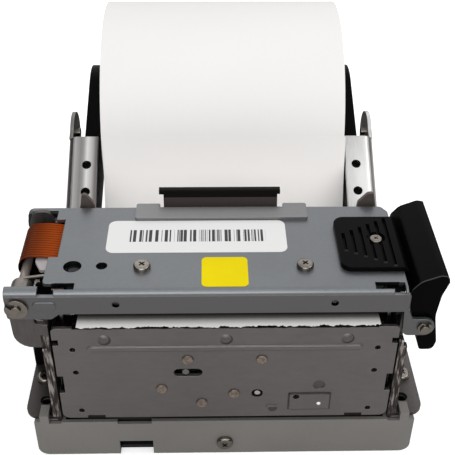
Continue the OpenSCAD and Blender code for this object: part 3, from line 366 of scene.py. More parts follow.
def pan_head(radius, height, shank):
    """Leaves a domed screw in hand, its head standing on the origin and its shank below."""
    shank_radius, shank_length = shank
    bars = []
    for turn in (45, 135):
        block((0, 0, height), (1.15 * radius, 0.27 * radius, 1.2 * height), math.radians(turn))
        pick(lambda centre, normal: normal.z < -0.9)
        bpy.ops.transform.resize(value=(0.5, 0.5, 1), center_override=(0, 0, 0.4 * height))
        bpy.ops.object.mode_set(mode="OBJECT")
        bars.append(bpy.context.object)
    rod((0, 0, height / 2), radius, height)
    screw = bpy.context.object
    bevel(lambda centre, normal: normal.z > 0.9, 0.62 * height, 5, "FACE", profile=0.6)
    pick(lambda centre, normal: normal.z < -0.9)
    bpy.ops.mesh.inset(thickness=radius - shank_radius)
    pull(0, 0, -shank_length)
    carve(bars)
    return screw


def put_copies(model, places, turn=(0, 0, 0)):
    """Copies a piece to places, each with its own mesh, and joins the copies into one piece."""
    made = []
    for place in places:
        alone()
        model.select_set(True)
        bpy.context.view_layer.objects.active = model
        bpy.ops.object.duplicate()
        copy = bpy.context.object
        copy.location, copy.rotation_euler = place, turn
        freeze()
        made.append(copy)
    bpy.data.objects.remove(model)
    alone()
    for copy in made:
        copy.select_set(True)
    bpy.context.view_layer.objects.active = made[0]
    if len(made) > 1:
        bpy.ops.object.join()


nickel = sheet_steel("nickel", (0.12, 0.110, 0.100), (0.31, 0.282, 0.247), 0.22,
                     grain=(2, 2, 2), metallic=1.0)
# The hinge shaft has dulled
shaft = (nickel.along("X") < -52.6) * (nickel.along("Z") > 56.5) * (abs(nickel.along("Y") + 38) < 11)
nickel.tint(shaft, (0.235, 0.20, 0.18))
nickel.set("Metallic", 1 - 0.75 * shaft)
low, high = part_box("tray_screws")
foot_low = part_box("left_arm_bracket")[0].z
put_copies(pan_head(2.4 * MM, 1.6 * MM, shank=(1.5 * MM, 3.4 * MM)),
           [(x, y, foot_low) for x in (low.x + 2.4 * MM, high.x - 2.4 * MM) for y in (-33.9 * MM, 16 * MM)])
settle("foot_screw_set", "chassis", "nickel", nickel, "tray_screws")
put_copies(pan_head(2.4 * MM, 1.5 * MM, shank=(1.5 * MM, 3.9 * MM)), [(0, low.y + 1.5 * MM, 5 * MM)],
           turn=(math.radians(90), 0, 0))
settle("front_screw", "chassis", "nickel", nickel)
for name, node, radius, height, shank in (
        ("bracket_screw_set", "bracket_screws", 2.2 * MM, 1.5 * MM, (1.5 * MM, 2.2 * MM)),
        ("board_screw_set", "board_screws", 2.3 * MM, 1.4 * MM, (1.2 * MM, 4.8 * MM))):
    low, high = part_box(node)
    put_copies(pan_head(radius, height, shank),
               [(x, y, high.z - height) for x in (low.x + radius, high.x - radius)
                for y in (low.y + radius, high.y - radius)])
    settle(name, "chassis", "nickel", nickel, node)
low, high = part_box("head_screws")
put_copies(pan_head(2.3 * MM, 1.4 * MM, shank=(1.2 * MM, 3.5 * MM)),
           [(x, (low.y + high.y) / 2, high.z - 1.4 * MM) for x in (low.x + 2.3 * MM, high.x - 2.3 * MM)])
settle("head_screw_set", "head", "nickel", nickel, "head_screws")
low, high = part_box("pad_screw")
middle = (low + high) / 2
put_copies(pan_head(1.75 * MM, 0.9 * MM, shank=(1.05 * MM, 2.9 * MM)),
           [(middle.x, middle.y, high.z - 0.9 * MM)])
settle("thumb_pad_screw", "head", "nickel", nickel, "pad_screw")

# ---- Small turned parts ----
# Shafts, retaining rings, bushes, posts and pins are turned or stamped and nickel plated.

dress(nickel, "guide_pins", "platen_bushes", "idler_post", "feed_pinion", "hinge_shaft", "hinge_clips",
      "catch_pin", "latch_shaft", "latch_clips", "arm_pins")

# ---- Side frames and rear plate ----
# The side frames are pressed from zinc plated steel of the same gauge, with a foot turned out at
# the bottom and ears turned out for the hinge. The rear plate joins them.

frame_steel = sheet_steel("frame_steel", (0.078, 0.071, 0.069), (0.138, 0.128, 0.125), 0.42,
                          grain=(4.0, 4.0, 1.0))
sideways, backward, upward = abs(frame_steel.along("X")), frame_steel.along("Y"), frame_steel.along("Z")
# The feet lie in the walls' shade, and so does all that is behind the cutter
frame_steel.tint((upward < 15.5) * frame_steel.ramp((57.6 - sideways) * 0.1, (0.1, 0.0), (0.75, 0.75)),
                 (0.016, 0.013, 0.012))
frame_steel.tint((upward < 15.5) * (frame_steel.along("X") < 0) * 0.45, (0.040, 0.031, 0.029))
frame_steel.tint((sideways < 46.95) * (backward < -20) * 0.8, (0.010, 0.009, 0.009))
# The hemmed front edges are painted in streaks of shade, with glints of painted highlight between
streaks = frame_steel.noise(900, 4, stretch=(1.6, 1.0, 0.22))
hemmed = ((backward < -48.0) * (upward < 47) * (upward > 15.5) * (frame_steel.facing("Y") < -0.3)
          * (sideways < 49.4))
frame_steel.tint(hemmed * 0.9, frame_steel.ramp(streaks, (0.44, (0.030, 0.022, 0.020)),
                                                (0.52, (0.10, 0.088, 0.083)), (0.60, (0.40, 0.37, 0.355))))
dress(frame_steel, "left_side_frame", "right_side_frame", "cutter_back_plate")

ear_steel = sheet_steel("ear_steel", (0.085, 0.066, 0.060), (0.15, 0.122, 0.112), 0.5, grain=(4.0, 4.0, 1.0),
                        metallic=0.6)


def soften(node, width, segments):
    """Leaves a copy of a CAD node in hand, with its sharp edges rounded."""
    alone()
    source = frame["nodes"][node]
    source.select_set(True)
    bpy.context.view_layer.objects.active = source
    bpy.ops.object.duplicate()
    bpy.ops.object.parent_clear(type="CLEAR_KEEP_TRANSFORM")
    bpy.ops.object.mode_set(mode="EDIT")
    bpy.ops.mesh.select_all(action="SELECT")
    bpy.ops.mesh.remove_doubles(threshold=0.002 * MM)
    bpy.ops.mesh.dissolve_limited(angle_limit=math.radians(1))
    change("BEVEL", width=width, segments=segments, limit_method="ANGLE", angle_limit=math.radians(30),
           use_clamp_overlap=True)


# The rear plate's two ears taper to blunt points
soften("rear_cross_plate", 0.25 * MM, 2)
pick(lambda place, normal: place.z > 62.3 * MM, "VERT")
bpy.ops.transform.resize(value=(1, 1, 0.64), center_override=(0, 0, 62 * MM))
for middle, narrower in ((-39.9 * MM, 0.74), (41.9 * MM, 0.94)):
    pick(lambda place, normal: place.z > 55 * MM and place.x * middle > 0, "VERT")
    bpy.ops.transform.resize(value=(narrower, 1, 1), center_override=(middle, 0, 0))
settle("rear_plate_with_ears", "chassis", "frame_steel", ear_steel, "rear_cross_plate", smooth=40)

# ---- Cutter ----
# The cutter is a thin box of warm grey steel. Copper coloured rivets hold its parts, a bright pin
# shows in a slot, and behind the front plate a rack slides and lifts the blade.

cutter_steel = sheet_steel("cutter_steel", (0.164, 0.153, 0.152), (0.206, 0.194, 0.192), 0.40, metallic=0.95,
                           grain=(1.0, 3.0, 3.0))
# Each pressed form is painted darker in its middle, with a crescent of painted shade at its lower edge
for x in (-32.4, 0, 32.4):
    cutter_steel.tint(cutter_steel.round_spot(x, 47, 1.35) * 0.55, (0.115, 0.108, 0.108))
    shade = cutter_steel.round_spot(x + 0.15, 46.85, 1.8)
    cutter_steel.tint(shade * (1 - cutter_steel.round_spot(x - 0.2, 47.2, 1.6)) * 0.8, (0.055, 0.050, 0.050))
across, upward = cutter_steel.along("X"), cutter_steel.along("Z")
# Painted shade runs under the rib and round the window, and a painted highlight along the rib's top
cutter_steel.tint((abs(across) < 36) * (abs(upward - 42.85) < 0.22) * 0.6, (0.06, 0.055, 0.055))
cutter_steel.tint((abs(across) < 36) * (abs(upward - 44.45) < 0.14) * 0.7, (0.34, 0.325, 0.32))
window = (abs(across - 23.7) < 6.1) * (abs(upward - 22.7) < 3.5)
cutter_steel.tint(window * (1 - (abs(across - 23.7) < 5.55) * (abs(upward - 22.7) < 2.95)) * 0.75,
                  (0.060, 0.055, 0.055))
cutter_steel.tint(cutter_steel.round_spot(26.1, 29.2, 1.65) * 0.6, (0.078, 0.074, 0.082))
cutter_steel.tint(cutter_steel.round_spot(13.4, 20.3, 1.3) * (upward < 20.9) * 0.7, (0.050, 0.046, 0.047))
# The top edge and all that lies inside are unlit, and the paper's end throws a ragged shade
brim = cutter_steel.noise(520, 4)
cutter_steel.tint((upward > 50.72 + 0.8 * (brim - 0.3)) * (abs(across) < 40.5) * 0.95, (0.006, 0.005, 0.005))
cutter_steel.tint((cutter_steel.along("Y") > -49.45) * (abs(across) < 46.0) * (upward > 18.5) * 0.94,
                  (0.008, 0.008, 0.008))
cutter_steel.tint((cutter_steel.along("Y") > -49) * (upward < 16.2) * 0.8, (0.012, 0.011, 0.011))
dress(cutter_steel, "cutter_front_plate")

copper = sheet_steel("copper_rivet", (0.27, 0.222, 0.188), (0.36, 0.292, 0.24), 0.40, grain=(3, 3, 3),
                     metallic=0.9)
spots = copper.noise(1400, 3)
copper.tint(copper.ramp(spots, (0.44, 0.55), (0.56, 0.0)), (0.115, 0.092, 0.078))
# Across and up: two of the five are long and guide the slide
rivets = {"places": ((-10.25, 39.4), (-17.7, 28.2), (-6.6, 22.4), (9.84, 39.3), (2.5, 26.1)),
          "head radius": 1.62 * MM, "head": 0.45 * MM, "shank radius": 1.2 * MM}
for x, z in rivets["places"]:
    ring = copper.round_spot(x, z, 1.7) * (1 - copper.round_spot(x, z, 1.4))
    copper.tint(ring * 0.5, (0.085, 0.069, 0.060))
low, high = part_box("cutter_rivets")
rod((0, 0, rivets["head"] / 2), rivets["head radius"], rivets["head"], sides=32)
rivet = bpy.context.object
bevel(lambda centre, normal: normal.z > 0.9, 0.25 * MM, 3, "FACE")
pick(lambda centre, normal: normal.z > 0.99)
bpy.ops.mesh.inset(thickness=0.35 * MM, depth=-0.05 * MM)
bpy.ops.mesh.inset(thickness=0.3 * MM, depth=-0.03 * MM)
pick(lambda centre, normal: normal.z < -0.9)
bpy.ops.mesh.inset(thickness=rivets["head radius"] - rivets["shank radius"])
pull(0, 0, low.y - high.y + 2 * rivets["head"])
bpy.ops.object.mode_set(mode="OBJECT")
put_copies(rivet, [(x * MM, low.y + rivets["head"], z * MM) for x, z in rivets["places"]],
           turn=(math.radians(90), 0, 0))
settle("cutter_rivet_set", "chassis", "copper_rivet", copper, "cutter_rivets", smooth=30)

# A strip closes the plate's lower notches from behind, standing in for the shade inside them
block((0, -48.4 * MM, 15.4 * MM), (88 * MM, 0.5 * MM, 5.0 * MM))
bevel(lambda middle, way: True, 0.12 * MM, 2)
settle("notch_shade_strip", "chassis", "cutter_steel", cutter_steel)

bright_steel = sheet_steel("bright_steel", (0.16, 0.152, 0.145), (0.30, 0.285, 0.27), 0.28, metallic=1.0)
# The pinion's end is painted dark as the shade of its bore, with a painted glint in the middle
pinion_end = bright_steel.along("Y") < -49.5
bright_steel.tint(pinion_end * bright_steel.round_spot(8.9, 26, 1.7), (0.010, 0.009, 0.009))
bright_steel.tint(pinion_end * bright_steel.round_spot(9.0, 26.25, 0.85), (0.62, 0.60, 0.58))
dress(bright_steel, "cutter_motor", "cutter_slide", "cutter_pinion", "platen_shaft", "feed_motor")
blade_steel = sheet_steel("blade_steel", (0.38, 0.385, 0.39), (0.52, 0.525, 0.53), 0.20,
                          grain=(12.0, 12.0, 1.0))
# The flange that is screwed up under the cover is painted black, as the shade under the cover
blade_steel.tint((blade_steel.along("Z") > 57) * 0.97, (0.010, 0.010, 0.010))
dress(blade_steel, "moving_blade", "fixed_blade")

# A pin shows in the pressed window
rod((26.4 * MM, -50.15 * MM, 21.9 * MM), 0.6 * MM, 1.5 * MM, turn=(math.radians(90), 0, 0), sides=24)
bevel(lambda centre, normal: normal.y < -0.9, 0.2 * MM, 3, "FACE")
pin_steel = sheet_steel("pin_steel", (0.80, 0.79, 0.77), (0.92, 0.91, 0.90), 0.3, metallic=0.2, edge=0.1)
settle("window_pin", "chassis", "bright_steel", pin_steel)

# ---- Black mouldings ----
# The exit guide, gear cover, paper inlet, chute, cable socket and roll arms are moulded in black
# plastic with a fine spark-eroded texture.


def moulding(name, colour, roughness, grain=0.015, edge=0.2, shine=0.5):
    """Moulded plastic or another plain stuff, with a fine grain and edges lighter by wear and painted
    highlight.
    """
    plastic = Finish(name, roughness=roughness, colour=colour, Specular_IOR_Level=shine)
    fine = plastic.noise(1500, 3)
    wide = plastic.noise(60, 3)
    tone = plastic.between(wide, colour, [c * 1.3 + 0.0005 for c in colour])
    # Edges are painted lighter, partly as wear and partly as painted highlight
    plastic.tone = plastic.between(plastic.corner(edge * MM) * 0.5, tone, [c + 0.035 for c in colour])
    plastic.set("Base Color", plastic.tone)
    plastic.set("Roughness", roughness - 0.05 + 0.1 * wide)
    plastic.set("Normal", plastic.bump(fine, grain * MM, 0.5, plastic.soft_edge(edge * MM)))
    return plastic


black_plastic = moulding("black_plastic", (0.0016, 0.0012, 0.0013), 0.42, shine=0.03)
dress(black_plastic, "exit_guide", "gear_cover", "paper_guide", "flex_socket",
      "left_roll_arm", "right_roll_arm")
# The inlet is paler low down in front
inlet_plastic = moulding("inlet_plastic", (0.0045, 0.0038, 0.0034), 0.42, shine=0.06)
near = (inlet_plastic.along("Z") < 65.4) * (inlet_plastic.along("Y") < -9)
inlet_plastic.tone = inlet_plastic.between(near, (0.0045, 0.0038, 0.0034), (0.050, 0.040, 0.041))
inlet_plastic.set("Base Color", inlet_plastic.tone)
dress(inlet_plastic, "inlet_guide")

# ---- Platen and gears ----
# The platen is a ground rubber roller on a steel shaft. Its gears are natural acetal.

platen_rubber = moulding("platen_rubber", (0.012, 0.012, 0.013), 0.6, shine=0.3)
dress(platen_rubber, "platen_roller")
gear_plastic = moulding("gear_plastic", (0.62, 0.60, 0.53), 0.35)
dress(gear_plastic, "platen_gear", "idler_gear")

# A black shield on the left frame's top edge keeps fingers off the platen gear
shield = {"middle": Vector((-48.95, -39.5, 54.3)) * MM, "size": Vector((3.9, 0.7, 6.6)) * MM,
          "corner": 1.0 * MM, "foot thickness": 0.8 * MM, "foot length": 2.5 * MM}
foot_top = shield["middle"].z - shield["size"].z / 2
block(shield["middle"], shield["size"])
bevel(lambda middle, way: abs(way.y) > 0.9 and middle.z > shield["middle"].z, shield["corner"], 5)
pick(lambda centre, normal: normal.z < -0.9)
pull(0, 0, -shield["foot thickness"])
pick(lambda centre, normal: normal.y > 0.9 and centre.z < foot_top)
pull(0, shield["foot length"], 0)
settle("gear_shield", "chassis", "black_plastic", black_plastic)

# ---- Head cover ----
# The cover is pressed from blue-grey plated steel. A strip stiffens its rear edge.

cover_steel = sheet_steel("cover_steel", (0.166, 0.174, 0.185), (0.206, 0.216, 0.227), 0.40,
                          grain=(3.0, 3.0, 3.0), metallic=0.92, edge=0.3)
aside, backward, upward = (cover_steel.along(axis) for axis in "XYZ")
# The bores of its holes are in shade
bores = (abs(cover_steel.facing("Z")) < 0.5) * (backward > -48) * (abs(aside) < 45) * (backward < -13.5)
cover_steel.tint(bores * 0.9, (0.010, 0.010, 0.010))
# So is its underside, and the flange in front is painted darker than the top, as shade
cover_steel.tint((cover_steel.facing("Y") < -0.8) * (backward < -49) * 0.8, (0.148, 0.144, 0.145))
cover_steel.tint((upward < 62.1) * (backward > -49.0) * 0.85, (0.02, 0.02, 0.02))
# The bores of the flange's two holes are painted dark, as shade
flange_holes = cover_steel.round_spot(-28.3, 59, 1.15) + cover_steel.round_spot(28.3, 59, 1.15)
cover_steel.tint((backward < -49.0) * flange_holes * (abs(cover_steel.facing("Y")) < 0.6) * 0.95,
                 (0.006, 0.006, 0.006))
dress(cover_steel, "head_cover")
stiffener_steel = sheet_steel("stiffener_steel", (0.180, 0.181, 0.181), (0.245, 0.246, 0.245), 0.38,
                              metallic=0.9)
dress(stiffener_steel, "rear_stiffener")

# A black film under the cover stands in for the shade under its holes, with a brass coloured rail at each end
black_film = moulding("black_film", (0.0018, 0.0015, 0.0014), 0.5, shine=0.05)
rail_brass = sheet_steel("rail_brass", (0.20, 0.155, 0.13), (0.34, 0.27, 0.23), 0.4, metallic=0.8)
for number, (left, right, height) in enumerate(((-45.6, -42.0, 59.9), (42.0, 46.6, 61.3))):
    block(((left + right) / 2 * MM, -44.6 * MM, height * MM), ((right - left) * MM, 8.0 * MM, 0.25 * MM))
    bevel(lambda middle, way: abs(way.z) > 0.9, 0.8 * MM, 4)
    settle(f"shade_film_{number + 1}", "head", "black_plastic", black_film)
    block(((left + right) / 2 * MM, -45 * MM, (height + 0.3) * MM),
          ((right - left - 0.3) * MM, 0.7 * MM, 0.35 * MM))
    bevel(lambda middle, way: abs(way.x) > 0.9 and middle.z > (height + 0.3) * MM, 0.15 * MM, 2)
    settle(f"film_rail_{number + 1}", "head", "copper_rivet", rail_brass)

# ---- Springs ----
# The hinge, latch and print head springs are wound from round music wire. The hinge spring lifts
# the cover, the latch spring turns the lever home, and three springs press the print head down.


def wind(name, body, node, middle, along, radius, wire, turns, length, legs=()):
    """Winds a spring round an axis, with straight legs that may ride on another body."""
    alone()
    bpy.ops.mesh.primitive_circle_add(vertices=12, radius=wire, fill_type="NOTHING",
                                      rotation=(math.radians(90), 0, 0), location=(radius, 0, wire))
    freeze()
    rise = (length - 2 * wire) / turns
    change("SCREW", axis="Z", angle=math.tau, screw_offset=rise, iterations=turns, steps=28, render_steps=28,
           use_merge_vertices=False)
    bpy.ops.object.mode_set(mode="EDIT")
    bpy.ops.mesh.select_all(action="SELECT")
    bpy.ops.mesh.remove_doubles(threshold=0.002 * MM)
    bpy.ops.object.mode_set(mode="OBJECT")
    spring = bpy.context.object
    if along == "y":
        spring.rotation_euler = (math.radians(90), 0, 0)
    spring.location = middle
    freeze()
    coils = bpy.context.object
    for number, (start, end, rider) in enumerate(legs):
        way = (end - start).normalized()
        turn = way.to_track_quat("Z", "Y").to_euler()
        rod((start + end) / 2, wire, (end - start).length, turn, sides=12)
        bevel(lambda centre, normal: abs(normal.dot(way)) > 0.9, 0.3 * wire, 2, "FACE")
        bpy.ops.object.mode_set(mode="OBJECT")
        leg = bpy.context.object
        alone()
        leg.select_set(True)
        if rider != body:
            bpy.context.view_layer.objects.active = leg
            settle(f"{name}_leg_{number + 1}", rider, "bright_steel", spring_wire, smooth=60)
            continue
        coils.select_set(True)
        bpy.context.view_layer.objects.active = coils
        bpy.ops.object.join()
    alone()
    coils.select_set(True)
    bpy.context.view_layer.objects.active = coils
    return settle(name, body, "bright_steel", spring_wire, node, smooth=60)


spring_wire = sheet_steel("spring_wire", (0.15, 0.132, 0.12), (0.30, 0.27, 0.25), 0.3, metallic=0.7)


def drawn(x, y, z):
    """A point of the springs' drawing, which counts in millimetres from the frames' front edge."""
    return Vector((x, y - 50, z)) * MM


wind("hinge_spring_wire", "chassis", "hinge_spring", drawn(-54, 9.6, 58), "y",
     radius=2.4 * MM, wire=0.4 * MM, turns=7, length=5.6 * MM,
     legs=[(drawn(-54, 9.2, 60.4), drawn(-46.1, 9.2, 61.55), "head"),
           (drawn(-54, 4.6, 55.4), drawn(-46.4, 4.6, 55.4), "chassis")])
wind("latch_spring_wire", "head", "latch_spring", drawn(52.7, 13.2, 50.2), "y",
     radius=2.2 * MM, wire=0.35 * MM, turns=6, length=5 * MM,
     legs=[(drawn(52.7, 12.8, 52.4), drawn(53.3, 12.8, 58.5), "latch"),
           (drawn(50.5, 8.7, 50.2), drawn(46.6, 8.7, 57.4), "head")])

low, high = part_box("head_springs")
spring_y = (low.y + high.y) / 2
for number, x in enumerate((low.x + 3 * MM, 0, high.x - 3 * MM)):
    spring = wind(f"head_spring_{number + 1}", "head", "head_springs", Vector((x, spring_y, low.z)), "z",
                  radius=2.7 * MM, wire=0.3 * MM, turns=4, length=high.z - low.z)
    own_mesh(spring)

# ---- Print head ----
# The heat sink, an aluminium extrusion painted near black as shade, carries the glazed ceramic print head

aluminium = sheet_steel("aluminium", (0.012, 0.012, 0.013), (0.022, 0.022, 0.023), 0.45,
                        grain=(1.0, 10.0, 10.0), metallic=0.3)
# Its ends, left out of the painted shade, are bare metal
aluminium.tint((aluminium.along("X") < -43.3) * 0.95, (0.42, 0.38, 0.385))
dress(aluminium, "head_heatsink")
ceramic = moulding("ceramic", (0.34, 0.32, 0.28), 0.25)
dress(ceramic, "printhead")

# ---- Flat cable ----
# A film cable with fifteen copper conductors carries the print head's signals round the hinge.
# It is laid flat, rolled round the hinge shaft and pushed into the socket on the left frame.

cable = {"first": -37.9, "cover edge": -44.6, "height": 61.55, "bend middle": (-52.2, 58.2),
         "bend radius": 3.95, "bend starts": math.radians(82), "bend turns": math.radians(188),
         "film": 0.12, "ridge": 0.10, "conductors": 15}
low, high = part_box("flex_cable")
sheet(((cable["first"] - 0.4) * MM, (low.y + high.y) / 2, cable["height"] * MM),
      (0.8 * MM, high.y - low.y), cuts=(1, 120))
pitch = (high.y - low.y) / cable["conductors"]
for point in bpy.context.object.data.vertices:
    across = ((point.co.y - low.y) / pitch) % 1
    point.co.z += cable["ridge"] * MM * ((0.5 - 0.5 * math.cos(math.tau * across)) ** 0.6 - 0.5)
first = min(point.co.x for point in bpy.context.object.data.vertices)
pick(lambda middle, way: abs(way.y) > 0.5 and middle.x < first + 0.01 * MM, "EDGE")
at = Vector((first / MM, cable["height"]))
bend = Vector(cable["bend middle"])
begin = bend + cable["bend radius"] * Vector((math.cos(cable["bend starts"]), math.sin(cable["bend starts"])))
for stop in (Vector((cable["cover edge"], cable["height"])), Vector((-47.0, 61.9)),
             Vector((-49.4, 62.16)), begin):
    pull((stop.x - at.x) * MM, 0, (stop.y - at.y) * MM, kind="edges")
    at = stop
bpy.ops.mesh.spin(steps=26, angle=cable["bend turns"], center=(bend.x * MM, 0, bend.y * MM), axis=(0, 1, 0))
pull(1.55 * MM, 0, 0, kind="edges")
bpy.ops.mesh.select_all(action="SELECT")
bpy.ops.mesh.remove_doubles(threshold=0.001 * MM)
bpy.ops.mesh.normals_make_consistent(inside=False)
change("SOLIDIFY", thickness=cable["film"] * MM, offset=0)
flex_film = Finish("flex_film", roughness=0.34, Specular_IOR_Level=0.03)
lane = (flex_film.metres("Y") - low.y) * (1 / pitch)
ridge = 2 * flex_film.node("ShaderNodeMath", {"operation": "PINGPONG"}, {0: lane, 1: 0.5})
blotch = flex_film.noise(220, 3)
flex_film.tone = flex_film.between(flex_film.ramp(ridge + 0.25 * blotch, (0.15, 0.0), (0.62, 1.0)),
                                   (0.085, 0.012, 0.002), (0.33, 0.054, 0.003))
# Rolled inwards and low down, the film is painted darker, as shade
flex_film.tint(flex_film.ramp((flex_film.along("X") + 56.2) * 0.1, (0.05, 0.85), (0.45, 0.55), (0.95, 0.0)),
               (0.020, 0.004, 0.001))
flex_film.tint(flex_film.ramp((flex_film.along("Z") - 54) * 0.12, (0.25, 0.95), (0.75, 0.0)),
               (0.006, 0.002, 0.001))
flex_film.set("Roughness", 0.28 + 0.16 * blotch)
flex_film.set("Normal", flex_film.bump(ridge, 0.04 * MM, 0.6))
ribbon = settle("flex_ribbon", None, "flex_film", flex_film, "flex_cable", smooth=50)
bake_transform(ribbon)

# ---- Thumb pad ----
# A black moulded pad is screwed on the cover beside the lever. Six finger grooves of growing
# length are cut in it, and its screw sits in a round pocket.

pad_plastic = moulding("pad_plastic", (0.0022, 0.0017, 0.0018), 0.30, shine=0.03, edge=0.12)
grooves = {"places": (32.5, 34.95, 37.4, 39.85, 42.3, 44.7), "width": 1.25, "depth": 1.05}
low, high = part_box("thumb_pad")
cutters = []
for number, x in enumerate(grooves["places"]):
    front, back = (-35.0 - 1.30 * number) * MM, (-27.4 + 1.4 * number) * MM
    block((x * MM, (front + back) / 2, high.z),
          (grooves["width"] * MM, back - front, 2 * grooves["depth"] * MM))
    pick(lambda centre, normal: normal.z < -0.9)
    bpy.ops.transform.resize(value=(0.6, 0.97, 1), center_override=(
        x * MM, (front + back) / 2, high.z - grooves["depth"] * MM))
    bpy.ops.object.mode_set(mode="OBJECT")
    cutters.append(bpy.context.object)
rod((41.4 * MM, -29.6 * MM, high.z), 2.5 * MM, 2 * MM)
cutters.append(bpy.context.object)
block((low + high) / 2, high - low)
bevel(lambda middle, way: abs(way.z) > 0.9 and middle.x < low.x + 1 * MM, 3.0 * MM, 10)
bevel(lambda middle, way: abs(way.y) > 0.9 and middle.x > high.x - 1 * MM and middle.z > high.z - 0.1 * MM,
      1.1 * MM, 1)
bevel(lambda middle, way: abs(way.z) < 0.1 and middle.z > high.z - 0.01 * MM and middle.x < high.x - 1.4 * MM,
      0.18 * MM, 2)
carve(cutters)
settle("grooved_thumb_pad", "head", "black_plastic", pad_plastic, "thumb_pad", smooth=30)

# Each groove ends in a polished stud
stud_plastic = moulding("stud_plastic", (0.003, 0.0025, 0.0025), 0.22, shine=0.14, edge=0.1)
block((0, 0, 0), (1.1 * MM, 0.9 * MM, 1.2 * MM))
bevel(lambda middle, way: middle.z > 0.1 * MM, 0.25 * MM, 3)
bpy.ops.object.mode_set(mode="OBJECT")
put_copies(bpy.context.object, [(x * MM, (-35.4 - 1.30 * number) * MM, high.z - 0.48 * MM)
                                for number, x in enumerate(grooves["places"])])
settle("groove_studs", "head", "black_plastic", stud_plastic)

# ---- Latch lever ----
# The lever is one thick glossy moulding with rounded edges: a grip along the cover, an arm at the
# front that swings on the latch shaft, and a hook at the rear that catches the frame's pin.

lever_plastic = moulding("lever_plastic", (0.0014, 0.0010, 0.0011), 0.20, grain=0.006, edge=0.3, shine=0.03)
# Its front lip carries a painted highlight
lip = (abs(lever_plastic.along("Y") + 48.1) < 0.22) * (lever_plastic.along("Z") > 57)
lever_plastic.tone = lever_plastic.between(lip * 0.8, (0.0016, 0.0012, 0.0013), (0.065, 0.062, 0.062))
lever_plastic.set("Base Color", lever_plastic.tone)
soften("latch_lever", 0.9 * MM, 5)
settle("latch_lever_moulding", "latch", "black_plastic", lever_plastic, "latch_lever", smooth=40)

# ---- Labels ----
# Two stickers cut with rounded corners: a white one printed with plain bars that stand for
# nothing, and a plain yellow one.


def sticker(name, node, slot, finish, corner):
    """Lays a label with rounded corners in its CAD node's place."""
    low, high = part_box(node)
    alone()
    bpy.ops.mesh.primitive_plane_add(size=1, location=((low.x + high.x) / 2, (low.y + high.y) / 2, low.z))
    bpy.context.object.scale = (high.x - low.x, high.y - low.y, 1)
    freeze()
    pick(lambda place, normal: True, "VERT")
    bpy.ops.mesh.bevel(offset=corner, segments=8, affect="VERTICES")
    change("SOLIDIFY", thickness=high.z - low.z, offset=1)
    settle(name, "head", slot, finish, node, smooth=30)


label_white = Finish("label_white", roughness=0.42)
low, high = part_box("white_label")
along, up = label_white.metres("X"), label_white.metres("Y")
width, tall = high.x - low.x, high.y - low.y
inside = ((along > low.x + 0.115 * width) * (along < high.x - 0.115 * width)
          * (up > low.y + 0.33 * tall) * (up < high.y - 0.30 * tall))
ink = inside * (label_white.lines(along, 1150, 1.0) > 0.5)
label_white.set("Base Color", label_white.between(ink, (0.70, 0.70, 0.695), (0.02, 0.02, 0.022)))
label_white.set("Roughness", 0.42 + 0.12 * ink)
sticker("bar_label", "white_label", "label_white", label_white, 2.2 * MM)
label_yellow = moulding("label_yellow", (0.64, 0.515, 0.0005), 0.42, grain=0.004, shine=0.05)
sticker("plain_yellow_label", "yellow_label", "label_yellow", label_yellow, 1.4 * MM)

# ---- Roll brackets ----
# Bright zinc plated channels that stand up at the back and carry the roll arms.

bracket_zinc = sheet_steel("bracket_zinc", (0.24, 0.236, 0.23), (0.56, 0.555, 0.55), 0.36,
                           grain=(9.0, 1.0, 1.0), metallic=1.0, edge=0.3)
aside = bracket_zinc.along("X")
cloudy = bracket_zinc.noise(70, 4, stretch=(1.0, 0.25, 0.4))
# Bands of painted highlight and shade run along the left one; the right is painted bright in clouds, as
# reflection
light_and_shade_bands = bracket_zinc.ramp((aside + 57.6) * 0.06, (0.0, (0.30, 0.29, 0.285)), (0.36, (0.10, 0.095, 0.09)),
                          (0.43, (0.16, 0.15, 0.145)), (0.49, (0.56, 0.545, 0.535)),
                          (0.56, (0.34, 0.33, 0.325)), (0.64, (0.21, 0.205, 0.20)),
                          (0.70, (0.30, 0.295, 0.29)), (0.77, (0.72, 0.715, 0.70)),
                          (0.87, (0.44, 0.43, 0.42)), (0.94, (0.14, 0.13, 0.125)))
bracket_zinc.tint((aside < 0) * 0.88, light_and_shade_bands)
bracket_zinc.tint((aside > 0) * bracket_zinc.ramp(cloudy, (0.35, 0.15), (0.65, 0.95)), (0.80, 0.795, 0.785))
dress(bracket_zinc, "left_arm_bracket", "right_arm_bracket")

# ---- Paper ----
# A roll of thermal paper on a cardboard core. A strip of it hangs from the front of the roll, goes
# up the chute and over the platen, and comes out between cutter and head, where its end is torn.


def thermal_paper(name):
    """White paper that keeps its fibres and slow waves, from which its surface is raised."""
    made = Finish(name, roughness=0.62)
    made.fibre, made.wave = made.noise(900, 4), made.noise(24, 3, stretch=(1.0, 1.6, 1.6))
    made.tone = made.between(0.35 * made.fibre + 0.65 * made.wave, (0.765, 0.750, 0.735), (0.82, 0.805, 0.79))
    return made


